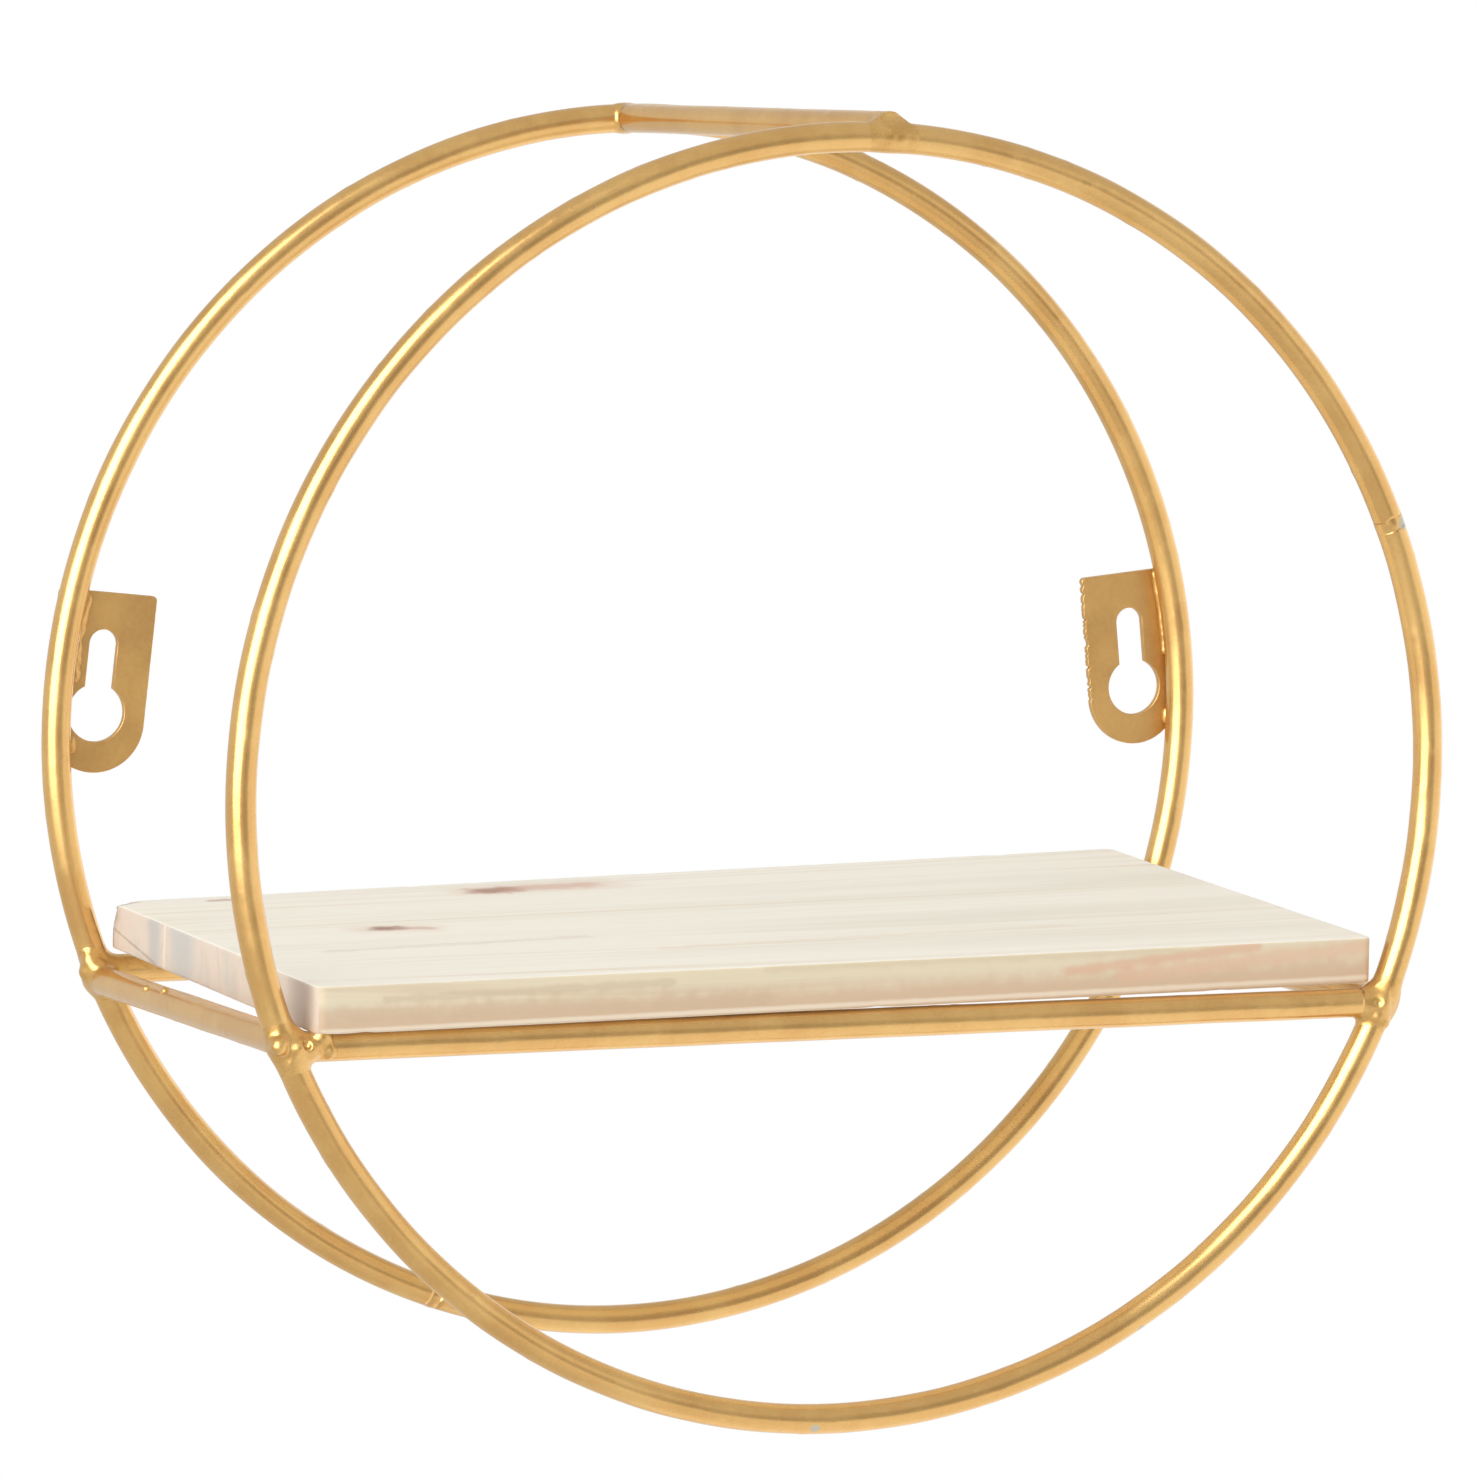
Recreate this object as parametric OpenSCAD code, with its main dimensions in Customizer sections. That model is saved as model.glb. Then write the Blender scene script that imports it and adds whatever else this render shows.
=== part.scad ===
// Round wall shelf: two wire rings held apart by bars, a loose pine board on rails
// inside the rings, and two keyhole tabs that hang the frame on the wall.
// +X right, +Y into the wall, +Z up. The wall is the plane y = 0, and the origin lies
// midway between the two keyholes' entry holes.

/* [Wire frame] */
// Diameter of the round steel wire of every ring and bar
wire_d = 6; // [5:0.5:7]
// Radius of each ring, to the middle of its wire
ring_r = 127; // [115:1:150]
// Distance between the rings, wire middle to wire middle
ring_spacing = 117; // [100:1:130]
// How far the shelf rails lie below the ring centres
rail_drop = 48; // [35:0.5:65]

/* [Bars as welded] */
// How far the left side bar's back end is welded below the rail
left_bar_back_low = 2; // [0:0.5:2.5]
// How far the left side bar's front end is welded above the rail
left_bar_front_high = 1; // [0:0.5:2]
// How far left of the middle the top bar meets the back ring
top_bar_back_left = 4; // [-6:0.5:6]
// How far right of the middle the top bar meets the front ring
top_bar_front_right = 5.5; // [-6:0.5:6]
// How far the top bar's front end stands above the front ring
top_bar_front_high = 2; // [0:0.5:2.5]

/* [Hanging tabs] */
// Thickness of the tab's sheet steel
tab_t = 1.5; // [1:0.1:2.5]
// Width of a tab
tab_w = 21; // [18:0.5:23]
// Height of a tab's square end above the middle of its weld
tab_top = 17.3; // [14:0.1:20]
// Distance from the middle of the weld down to the tab's round end
tab_bottom = 20; // [17:0.5:24]
// Angle above the ring centres at which each tab is welded
tab_angle = 6; // [0:0.5:15]
// Diameter of the keyhole's entry hole, which a screw head passes
entry_d = 12; // [9:0.5:13]
// Width of the keyhole's slot, which holds the screw's shank
slot_w = 6; // [4.5:0.5:7]
// Distance from the entry hole's centre to the seat at the slot's end
seat_rise = 14.2; // [10:0.1:15]
// How far the entry hole lies below the middle of the weld
entry_low = 7.6; // [6:0.1:9]
// Gap between the entry hole's edge and the wire's inner side
keyhole_gap = 0.7; // [0.4:0.1:2]

/* [Shelf board] */
// Thickness of the pine board
board_t = 9.4; // [6:0.1:14]
// How far the board's long edges stay back from the frame's front and back
board_setback = 1; // [0:0.5:8]
// Gap at rail level between each end of the board and the ring
board_end_gap = 1.2; // [1:0.1:5]
// Eased edge all round the board
board_ease = 0.5; // [0.3:0.1:1.5]
// Play that keeps the loose board off the metal it rests on
board_play = 0.3; // [0.2:0.1:0.5]
// How far the board sits right of the middle
board_shift = 0.3; // [0:0.1:0.4]
// Rise of the board towards its right end, in degrees
board_lean = 0.45; // [0:0.05:0.6]
// Rise of the board towards the wall, in degrees
board_pitch = 0.6; // [0:0.1:0.7]
// Turn of the board within the frame, in degrees
board_turn = 1.2; // [0:0.1:1.4]

/* [Welds] */
// How far weld metal stands proud of the wire at a joint
weld_proud = 1.2; // [0.8:0.1:1.4]
// Radius of the bead between a tab and the wire
tab_bead_r = 1; // [0.8:0.1:1.3]
// Length of the butt weld that closes each ring
seam_len = 1.6; // [1:0.1:3]
// How far the ground butt weld stands proud of the wire
seam_proud = 0.25; // [0.1:0.05:0.4]

/* [Hidden] */
$fn = 64;

gold = [0.80, 0.62, 0.33];
gold_weld = [0.86, 0.69, 0.40];
gold_tab = [0.74, 0.56, 0.30];
pine = [0.92, 0.85, 0.72];

wire_r = wire_d / 2;
ring_inner = ring_r - wire_r;
ring_outer = ring_r + wire_r;

// where the keyhole lies on the tab: u runs out from the ring centre, v up along the tab
hole_u = ring_inner - keyhole_gap - entry_d / 2;
hole_v = -entry_low;
seat_v = hole_v + seat_rise;
hole_x = hole_u * cos(tab_angle) - hole_v * sin(tab_angle);
hole_z = hole_u * sin(tab_angle) + hole_v * cos(tab_angle);

// the rings' middle planes and centre height, from the wall and the entry holes
back_y = -tab_t - wire_r;
front_y = back_y - ring_spacing;
centre_z = -hole_z;
rail_z = centre_z - rail_drop;
rail_top = rail_z + wire_r;
ring_top = centre_z + ring_r;

// half of each chord of a ring at the rails: wire middle, and inner side at a rail's foot
joint_x = sqrt(pow(ring_r, 2) - pow(rail_drop, 2));
rail_half = sqrt(pow(ring_inner, 2) - pow(rail_drop + wire_r, 2));

// each ring is closed by a butt weld at its own place on the circle
back_seam_angle = 250;
front_seam_angle = 23;
seam_span = seam_len / ring_r * 180 / PI;

// the board, placed from its lowest corner: front, left, underside
board_w = 2 * (sqrt(pow(ring_inner, 2) - pow(rail_drop - wire_r, 2)) - board_end_gap);
board_d = ring_spacing + wire_d - 2 * board_setback;
board_mid_y = (back_y + front_y) / 2;
board_x0 = board_shift - board_w / 2 * cos(board_turn) + board_d / 2 * sin(board_turn);
board_y0 = board_mid_y - board_w / 2 * sin(board_turn) - board_d / 2 * cos(board_turn);
board_z0 = rail_top + board_play;

// height of the board's underside above a point of the plan
function underside(x, y) =
    let (nx = sin(board_pitch) * sin(board_turn) - sin(board_lean) * cos(board_pitch) * cos(board_turn),
         ny = -sin(board_pitch) * cos(board_turn) - sin(board_lean) * cos(board_pitch) * sin(board_turn),
         nz = cos(board_lean) * cos(board_pitch))
    board_z0 - (nx * (x - board_x0) + ny * (y - board_y0)) / nz;

// the lumps of each weld, as [right, towards the front, up, radius] in wire radii
weld_r = wire_r + weld_proud;
heel_x = rail_half - 2 * wire_r;
heel_r = 0.95 * wire_r;
// a weld stays this far short of a bar's flat end, where it would thin to nothing between
// the end and the round wire
bar_root = 0.25 * wire_r;
lumps_front_left = [
    [-0.85, 1.05, 0.45, 0.50], [0.37, 1.17, 0.23, 0.45], [1.55, 0.83, 0.13, 0.62],
    [2.77, 0.75, 0.57, 0.36], [2.63, 0.83, -0.37, 0.42], [-0.13, 0.77, -1.23, 0.60],
    [1.13, 0.27, -1.13, 0.56], [-1.20, 0.23, -0.57, 0.55]
];
lumps_front_right = [
    [-1.33, 0.53, -0.67, 0.58], [-0.53, 1.07, 0.13, 0.60], [0.47, 1.05, 0.57, 0.55],
    [-0.37, 0.83, -0.93, 0.50]
];
lumps_back_left = [
    [-1.07, 0.87, 0.83, 0.46], [-0.77, 1.03, 0.13, 0.55], [0.03, 1.15, -0.53, 0.50],
    [-1.13, 0.33, -0.63, 0.50]
];
lumps_back_right = [
    [-1.30, 0.67, -0.73, 0.58], [0.33, 1.03, -0.53, 0.58], [0.87, 0.67, 0.63, 0.53],
    [-0.47, 0.37, -1.20, 0.56]
];
lumps_top_back = [[-1.03, 0.73, 0.47, 0.50], [0.93, 0.83, 0.17, 0.50], [0.23, 0.87, -0.77, 0.47]];
lumps_top_front = [[-1.05, -0.70, 0.30, 0.52], [0.95, -0.55, 0.75, 0.55], [0.10, -0.85, -0.70, 0.45]];
// spatter on the left side bar, as [share of its length from the back, turn round it in
// degrees, radius in wire radii]
spatter = [[0.22, 150, 0.30], [0.34, 118, 0.22]];

// a stretch of a ring's wire, whose middle plane is y = 0
module ring_arc(tube_r, from, span, at_r = ring_r) {
    rotate([90, 0, 0])
        rotate([0, 0, from])
            rotate_extrude(angle = span, $fn = 180)
                translate([at_r, 0])
                    circle(r = tube_r, $fn = 48);
}

// the whole ring as a cutting tool
module ring_tool(y) {
    translate([0, y, centre_z])
        ring_arc(wire_r, 0, 360);
}

module ring(y, seam_angle) {
    translate([0, y, centre_z])
        ring_arc(wire_r, seam_angle + seam_span / 2, 360 - seam_span);
}

module ring_seam(y, seam_angle) {
    translate([0, y, centre_z])
        ring_arc(wire_r + seam_proud, seam_angle - seam_span / 2, seam_span);
}

// a shelf rail lies inside its ring, cut square and welded at both ends
module rail(y) {
    translate([-rail_half, y, rail_z])
        rotate([0, 90, 0])
            cylinder(r = wire_r, h = 2 * rail_half);
}

// a bar between the rings, from a point on the back plane to one on the front plane,
// with both ends cut flat where they meet the wire, or sunk into it by the given depth
module bar(back, front, sunk = 0) {
    reach = front - back;
    gap = ring_spacing - wire_d + 2 * sunk;
    length = norm(reach);
    intersection() {
        translate(back)
            rotate([0, acos(reach[2] / length), atan2(reach[1], reach[0])])
                cylinder(r = wire_r, h = length);
        translate([-ring_outer, back_y - wire_r + sunk - gap, centre_z - 2 * ring_outer])
            cube([2 * ring_outer, gap, 4 * ring_outer]);
    }
}

module left_bar(sunk = 0) {
    bar([-joint_x, back_y, rail_z - left_bar_back_low],
        [-joint_x, front_y, rail_z + left_bar_front_high], sunk);
}

module right_bar(sunk = 0) {
    bar([joint_x, back_y, rail_z], [joint_x, front_y, rail_z], sunk);
}

module crown_bar(sunk = 0) {
    bar([-top_bar_back_left, back_y, ring_top],
        [top_bar_front_right, front_y, ring_top + top_bar_front_high], sunk);
}

// turns the tab's own u, v plane to its place on the right of the back ring
module on_tab() {
    translate([0, 0, centre_z])
        rotate([90, -tab_angle, 0])
            children();
}

module keyhole() {
    translate([hole_u, hole_v])
        circle(r = entry_d / 2);
    translate([hole_u - slot_w / 2, hole_v])
        square([slot_w, seat_rise]);
    translate([hole_u, seat_v])
        circle(r = slot_w / 2);
}

module tab_outline() {
    corner_r = 1;
    translate([hole_u, tab_w / 2 - tab_bottom])
        circle(r = tab_w / 2);
    translate([hole_u - tab_w / 2, tab_w / 2 - tab_bottom])
        square([tab_w, tab_top + tab_bottom - tab_w / 2 - corner_r]);
    translate([hole_u - tab_w / 2 + corner_r, tab_w / 2 - tab_bottom])
        square([tab_w - 2 * corner_r, tab_top + tab_bottom - tab_w / 2]);
    for (side = [-1, 1])
        translate([hole_u + side * (tab_w / 2 - corner_r), tab_top - corner_r])
            circle(r = corner_r);
}

module tab() {
    on_tab()
        linear_extrude(tab_t)
            difference() {
                tab_outline();
                keyhole();
            }
}

// the bead in the corner between the tab's face and the wire's inner side, left out
// beside the entry hole, with a thicker lump at each end of a run
module tab_welds() {
    hole_turn = asin(hole_v / hole_u);
    hole_half = asin((entry_d / 2 + tab_bead_r) / hole_u);
    foot_turn = asin((tab_w / 3 - tab_bottom) / hole_u);
    head_turn = asin((tab_top - 2 * tab_bead_r) / hole_u);
    bead_at = ring_inner + 0.35 * wire_r;
    runs = [[foot_turn, hole_turn - hole_half], [hole_turn + hole_half, head_turn]];
    difference() {
        translate([0, -tab_t - 0.6 * tab_bead_r, centre_z])
            for (run = runs) {
                ring_arc(tab_bead_r, tab_angle + run[0], run[1] - run[0], bead_at);
                for (end = run)
                    rotate([0, -tab_angle - end, 0])
                        translate([bead_at, 0, 0])
                            sphere(r = 1.35 * tab_bead_r);
            }
        ring_tool(back_y);
        tab();
    }
}

// weld metal round a joint: a collar and its lumps, fitted over the wires that meet there
module weld(at, lumps) {
    translate(at) {
        sphere(r = weld_r);
        for (lump = lumps)
            translate(wire_r * [lump[0], -lump[1], lump[2]])
                sphere(r = wire_r * lump[3]);
    }
}

// weld metal heaped on a back rail, on which a back corner of the board rests
module heel(side) {
    top = underside(side * heel_x, back_y) - board_play;
    translate([side * heel_x, back_y, top - heel_r])
        sphere(r = heel_r);
}

// drops of weld metal that landed on the left side bar
module spatter_balls() {
    bar_rise = left_bar_back_low + left_bar_front_high;
    for (ball = spatter)
        translate([-joint_x, back_y - ball[0] * ring_spacing,
                   rail_z - left_bar_back_low + ball[0] * bar_rise])
            rotate([0, -ball[1], 0])
                translate([wire_r, 0, 0])
                    sphere(r = wire_r * ball[2]);
}

module back_ring() {
    color(gold)
        ring(back_y, back_seam_angle);
}

module front_ring() {
    color(gold)
        ring(front_y, front_seam_angle);
}

module back_ring_seam() {
    color(gold_weld)
        ring_seam(back_y, back_seam_angle);
}

module front_ring_seam() {
    color(gold_weld)
        ring_seam(front_y, front_seam_angle);
}

module back_rail() {
    color(gold)
        rail(back_y);
}

module front_rail() {
    color(gold)
        rail(front_y);
}

module left_side_bar() {
    color(gold)
        left_bar();
}

module right_side_bar() {
    color(gold)
        right_bar();
}

module top_bar() {
    color(gold)
        crown_bar();
}

module right_tab() {
    color(gold_tab)
        tab();
}

module left_tab() {
    color(gold_tab)
        mirror([1, 0, 0])
            tab();
}

module right_tab_welds() {
    color(gold_weld)
        tab_welds();
}

module left_tab_welds() {
    color(gold_weld)
        mirror([1, 0, 0])
            tab_welds();
}

module weld_back_left() {
    color(gold_weld)
        difference() {
            union() {
                weld([-joint_x, back_y, rail_z], lumps_back_left);
                heel(-1);
                spatter_balls();
            }
            ring_tool(back_y);
            rail(back_y);
            left_bar(bar_root);
        }
}

module weld_back_right() {
    color(gold_weld)
        difference() {
            union() {
                weld([joint_x, back_y, rail_z], lumps_back_right);
                heel(1);
            }
            ring_tool(back_y);
            rail(back_y);
            right_bar(bar_root);
        }
}

module weld_front_left() {
    color(gold_weld)
        difference() {
            weld([-joint_x, front_y, rail_z], lumps_front_left);
            ring_tool(front_y);
            rail(front_y);
            left_bar(bar_root);
        }
}

module weld_front_right() {
    color(gold_weld)
        difference() {
            weld([joint_x, front_y, rail_z], lumps_front_right);
            ring_tool(front_y);
            rail(front_y);
            right_bar(bar_root);
        }
}

module weld_top_back() {
    color(gold_weld)
        difference() {
            weld([-top_bar_back_left, back_y, ring_top], lumps_top_back);
            ring_tool(back_y);
            crown_bar(bar_root);
        }
}

module weld_top_front() {
    color(gold_weld)
        difference() {
            weld([top_bar_front_right, front_y, ring_top], lumps_top_front);
            ring_tool(front_y);
            crown_bar(bar_root);
        }
}

// a rectangle with its corners cut off at 45 degrees
module eased(width, height) {
    polygon([
        [board_ease, 0], [width - board_ease, 0], [width, board_ease],
        [width, height - board_ease], [width - board_ease, height],
        [board_ease, height], [0, height - board_ease], [0, board_ease]
    ]);
}

module shelf_board() {
    color(pine)
        translate([board_x0, board_y0, board_z0])
            rotate([board_pitch, -board_lean, board_turn])
                intersection() {
                    linear_extrude(board_t)
                        eased(board_w, board_d);
                    translate([0, board_d, 0])
                        rotate([90, 0, 0])
                            linear_extrude(board_d)
                                eased(board_w, board_t);
                    rotate([90, 0, 90])
                        linear_extrude(board_w)
                            eased(board_d, board_t);
                }
}

back_ring();
front_ring();
back_ring_seam();
front_ring_seam();
back_rail();
front_rail();
left_side_bar();
right_side_bar();
top_bar();
left_tab();
right_tab();
left_tab_welds();
right_tab_welds();
weld_back_left();
weld_back_right();
weld_front_left();
weld_front_right();
weld_top_back();
weld_top_front();
shelf_board();
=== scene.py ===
# %% [markdown]
# # A round wire wall shelf
# Two rings of painted steel wire stand one behind the other. Three short bars hold them
# apart, two rails cross them, and a loose pine board lies on the rails. Sheet-metal tabs
# with keyholes hang it on two screws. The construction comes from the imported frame, so every
# place below is read from a frame node or worked out from it. Blender adds what a maker
# would see in the hand: drawn wire under sprayed gold, run weld metal, sheared sheet edges
# and planed pine.

# %% Load the frame
import itertools
import math
import random

import bpy
import numpy as np
from mathutils import Matrix, Vector


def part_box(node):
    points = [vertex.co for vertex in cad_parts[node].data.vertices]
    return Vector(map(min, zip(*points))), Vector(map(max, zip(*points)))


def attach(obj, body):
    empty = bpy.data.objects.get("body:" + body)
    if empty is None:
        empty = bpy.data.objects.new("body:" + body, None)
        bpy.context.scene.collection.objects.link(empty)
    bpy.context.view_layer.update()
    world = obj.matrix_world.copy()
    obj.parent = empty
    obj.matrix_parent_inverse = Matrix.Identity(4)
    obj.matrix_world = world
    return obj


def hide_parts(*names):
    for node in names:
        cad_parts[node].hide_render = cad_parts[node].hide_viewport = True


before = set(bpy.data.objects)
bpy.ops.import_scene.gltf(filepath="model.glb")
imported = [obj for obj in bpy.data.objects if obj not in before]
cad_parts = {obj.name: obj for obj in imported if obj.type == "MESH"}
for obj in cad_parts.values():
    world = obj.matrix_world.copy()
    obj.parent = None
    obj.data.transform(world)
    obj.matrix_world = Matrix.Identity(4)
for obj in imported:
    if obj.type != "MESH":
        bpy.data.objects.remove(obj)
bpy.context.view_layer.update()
MM = 0.001

# %% [markdown]
# ## The sizes that the pieces share
# A frame node's box gives the wire's thickness, the rings' radius and their planes. Reading
# them here means that nothing has to be fitted later: when the frame changes, the wire, the
# welds and the board follow it.

# %% Read the wire frame's sizes
def middle_of(node):
    low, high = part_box(node)
    return (low + high) / 2


front_low, front_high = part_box("front_ring")
back_low, back_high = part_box("back_ring")
WIRE_R = (front_high.y - front_low.y) / 2
RING_R = (front_high.x - front_low.x) / 2 - WIRE_R
CENTRE_Z = (front_low.z + front_high.z) / 2
FRONT_Y = (front_low.y + front_high.y) / 2
BACK_Y = (back_low.y + back_high.y) / 2
RAIL_Z = middle_of("front_rail").z
RAIL_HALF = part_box("front_rail")[1].x
JOINT_X = math.sqrt(RING_R ** 2 - (CENTRE_Z - RAIL_Z) ** 2)
RING_TOP = CENTRE_Z + RING_R
print(f"wire {2000 * WIRE_R:.2f} mm, ring radius {1000 * RING_R:.1f} mm")

# %% [markdown]
# ## The camera
# The photograph was taken from the left and a little above, from more than a metre and a
# half away, so the rings hardly taper. The yaw, pitch and roll below are the angles at which
# the two rings overlap as they do in the picture. The long lens keeps that perspective and
# still fills the square frame.

# %% Place the camera
CAMERA_YAW = math.radians(22.411)
CAMERA_PITCH = math.radians(5.988)
CAMERA_ROLL = math.radians(0.891)
CAMERA_AT = Vector((-621.2, -1569.0, 168.8)) * MM
SENSOR = 36.0
IMAGE_SIDE = 1478
FOCAL_PIXELS = 8042.0


def make_camera():
    forward = Vector((math.sin(CAMERA_YAW) * math.cos(CAMERA_PITCH),
                      math.cos(CAMERA_YAW) * math.cos(CAMERA_PITCH),
                      -math.sin(CAMERA_PITCH)))
    level = Vector((math.cos(CAMERA_YAW), -math.sin(CAMERA_YAW), 0))
    upright = level.cross(forward)
    right = level * math.cos(CAMERA_ROLL) + upright * math.sin(CAMERA_ROLL)
    up = upright * math.cos(CAMERA_ROLL) - level * math.sin(CAMERA_ROLL)
    lens = bpy.data.cameras.new("camera")
    lens.sensor_width = SENSOR
    lens.lens = FOCAL_PIXELS / IMAGE_SIDE * SENSOR
    lens.clip_end = 20
    camera = bpy.data.objects.new("camera", lens)
    facing = Matrix((right, up, -forward)).transposed().to_4x4()
    camera.matrix_world = Matrix.Translation(CAMERA_AT) @ facing
    bpy.context.scene.collection.objects.link(camera)
    bpy.context.scene.camera = camera
    return camera


camera = make_camera()
print(f"camera lens {camera.data.lens:.1f} mm")

# %% [markdown]
# ## Building node trees
# A material is a small graph. A few helpers keep the graphs readable. One adds a node with
# its options and fills its inputs, each with a number or with another node's output. The
# others add the nodes that are used most: a Math node, a smooth step and a colour mix. The
# last one turns a colour on the screen into the linear numbers that shaders use.

# %% Node helpers
def plug(tree, socket, value):
    """Links an output to the socket, or gives the socket a plain value."""
    if isinstance(value, bpy.types.NodeSocket):
        tree.links.new(value, socket)
    else:
        socket.default_value = value


def add(tree, kind, values=None, **options):
    node = tree.nodes.new(kind)
    for name, option in options.items():
        setattr(node, name, option)
    for socket, value in (values or {}).items():
        plug(tree, node.inputs[socket], value)
    return node


def math_node(tree, operation, *values):
    return add(tree, "ShaderNodeMath", dict(enumerate(values)), operation=operation).outputs[0]


def between(tree, share, first, second):
    """The first value where the share is 0 and the second where it is 1."""
    return math_node(tree, "MULTIPLY_ADD", math_node(tree, "SUBTRACT", second, first), share, first)


def smooth_between(tree, value, start, end, low=0.0, high=1.0):
    values = dict(enumerate((value, start, end, low, high)))
    return add(tree, "ShaderNodeMapRange", values, interpolation_type="SMOOTHSTEP").outputs[0]


def mix_colours(tree, factor, first, second, blend="MIX"):
    values = {0: factor, 6: first, 7: second}
    return add(tree, "ShaderNodeMix", values, data_type="RGBA", blend_type=blend).outputs[2]


def screen(red, green, blue):
    """A colour as a screen shows it, 0 to 255, in the linear numbers that shaders use."""
    def linear(level):
        level /= 255
        return level / 12.92 if level <= 0.04045 else ((level + 0.055) / 1.055) ** 2.4
    return (linear(red), linear(green), linear(blue), 1)


print("node helpers ready")

# %% [markdown]
# ## The studio
# Satin gold paint shows the room more than it shows itself. The photographed wires carry a
# bright band on the left, a thin dark line and a paler band on the right. So the room has
# one big soft lamp on the camera's left, a darker opening to the right of the camera, and
# pale walls. The walls are painted in the world by direction. The background is white
# because camera rays see a world of strength 1, and no extra light falls on the shelf for it.

# %% The room's levels
CEILING_LEVEL = 0.56
DIFFUSE_SIDE = 0.52
DIFFUSE_TOP = 0.80
# how bright the walls and the floor are, by the angle from straight in front of the shelf
WALL_LEVELS = [(-180, 0.66), (-112, 0.68), (-98, 0.64), (-12, 0.62), (6, 0.28), (22, 0.34),
               (44, 0.98), (125, 1.25), (150, 0.85), (180, 0.66)]
FLOOR_LEVELS = [(-180, 0.66), (-115, 0.60), (-10, 0.60), (10, 0.72), (30, 1.00),
                (140, 1.10), (180, 0.66)]
LEVEL_SCALE = 0.5
# degrees above the horizon, from where each change starts to where it is complete
CEILING_RISE = (10, 34)
FLOOR_RISE = (-3, -18)
SOFTBOX_FOOT = (-17, 3)
SOFTBOX_HEAD = (62, 44)
SOFTBOX_TURN = -52
SOFTBOX_RISE = 27
SOFTBOX_HALF = 34
SOFTBOX_EDGE = 17
SOFTBOX_GLOW = 4.8


def level_ramp(tree, turn, levels):
    node = add(tree, "ShaderNodeValToRGB", {0: turn})
    elements = node.color_ramp.elements
    while len(elements) < len(levels):
        elements.new(1.0)
    for element, (angle, level) in zip(elements, levels):
        element.position = (angle + 180) / 360
        element.color = (level * LEVEL_SCALE,) * 3 + (1,)
    node.color_ramp.interpolation = "EASE"
    return math_node(tree, "DIVIDE", node.outputs[0], LEVEL_SCALE)


print("wall levels", [level for _, level in WALL_LEVELS])

# %% [markdown]
# The lamp's own glow is part of that world, with soft edges as a cloth-covered box has. A
# wire that faces its middle burns out to white, and the band's borders stay gold. Only the
# first mirror bounce sees the glow. A second one, from wire to wire, would draw hard orange
# lines that the photograph doesn't have.

# %% The world: white behind, a room all round
def make_world():
    world = bpy.data.worlds.new("studio")
    bpy.context.scene.world = world
    world.use_nodes = True
    tree = world.node_tree
    tree.nodes.clear()
    direction = add(tree, "ShaderNodeTexCoord").outputs["Generated"]
    x, y, z = add(tree, "ShaderNodeSeparateXYZ", {0: direction}).outputs
    towards = math_node(tree, "ARCTAN2", x, math_node(tree, "MULTIPLY", y, -1))
    degrees = math_node(tree, "DEGREES", towards)
    rise = math_node(tree, "DEGREES", math_node(tree, "ARCSINE", z))
    turn = math_node(tree, "MULTIPLY_ADD", degrees, 1 / 360, 0.5)
    walls = level_ramp(tree, turn, WALL_LEVELS)
    floor = level_ramp(tree, turn, FLOOR_LEVELS)
    upper = between(tree, smooth_between(tree, rise, *CEILING_RISE), walls, CEILING_LEVEL)
    room = between(tree, smooth_between(tree, rise, *FLOOR_RISE), upper, floor)
    off = math_node(tree, "ABSOLUTE", math_node(tree, "SUBTRACT", degrees, SOFTBOX_TURN))
    rays = add(tree, "ShaderNodeLightPath").outputs
    first_bounce = math_node(tree, "LESS_THAN", rays["Glossy Depth"], 1.5)
    glow = smooth_between(tree, off, SOFTBOX_HALF, SOFTBOX_HALF - SOFTBOX_EDGE)
    for share in (smooth_between(tree, rise, *SOFTBOX_FOOT),
                  smooth_between(tree, rise, *SOFTBOX_HEAD), first_bounce):
        glow = math_node(tree, "MULTIPLY", glow, share)
    mirrored = math_node(tree, "MULTIPLY_ADD", glow, SOFTBOX_GLOW, room)
    spread = smooth_between(tree, z, 0.0, 0.9, DIFFUSE_SIDE, DIFFUSE_TOP)
    glossy = math_node(tree, "MAXIMUM", rays["Is Glossy Ray"], rays["Is Transmission Ray"])
    seen = between(tree, glossy, spread, mirrored)
    strength = between(tree, rays["Is Camera Ray"], seen, 1)
    background = add(tree, "ShaderNodeBackground", {"Color": (1, 1, 1, 1), "Strength": strength})
    add(tree, "ShaderNodeOutputWorld", {"Surface": background.outputs[0]})


make_world()
bpy.context.scene.view_settings.view_transform = "Standard"
print("world ready")

# %% [markdown]
# The lamp itself lights the wood and throws the soft shadows. The world already carries its
# reflection, so glossy rays don't see it a second time.

# %% The soft lamp
SOFTBOX_AWAY = 1.7
SOFTBOX_SIZE = (3.3, 2.0)
SOFTBOX_RADIANCE = 1.6


def make_softbox():
    lamp = bpy.data.lights.new("softbox", "AREA")
    lamp.shape = "RECTANGLE"
    lamp.size, lamp.size_y = SOFTBOX_SIZE
    lamp.energy = SOFTBOX_RADIANCE * math.pi * lamp.size * lamp.size_y
    softbox = bpy.data.objects.new("softbox", lamp)
    turn, rise = math.radians(SOFTBOX_TURN), math.radians(SOFTBOX_RISE)
    towards = Vector((math.sin(turn) * math.cos(rise), -math.cos(turn) * math.cos(rise), math.sin(rise)))
    softbox.location = Vector((0, (FRONT_Y + BACK_Y) / 2, CENTRE_Z)) + towards * SOFTBOX_AWAY
    softbox.rotation_mode = "QUATERNION"
    softbox.rotation_quaternion = towards.to_track_quat("Z", "Y")
    softbox.visible_camera = False
    softbox.visible_glossy = False
    bpy.context.scene.collection.objects.link(softbox)
    return softbox


print("softbox power", round(make_softbox().data.energy, 1), "W")

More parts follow.
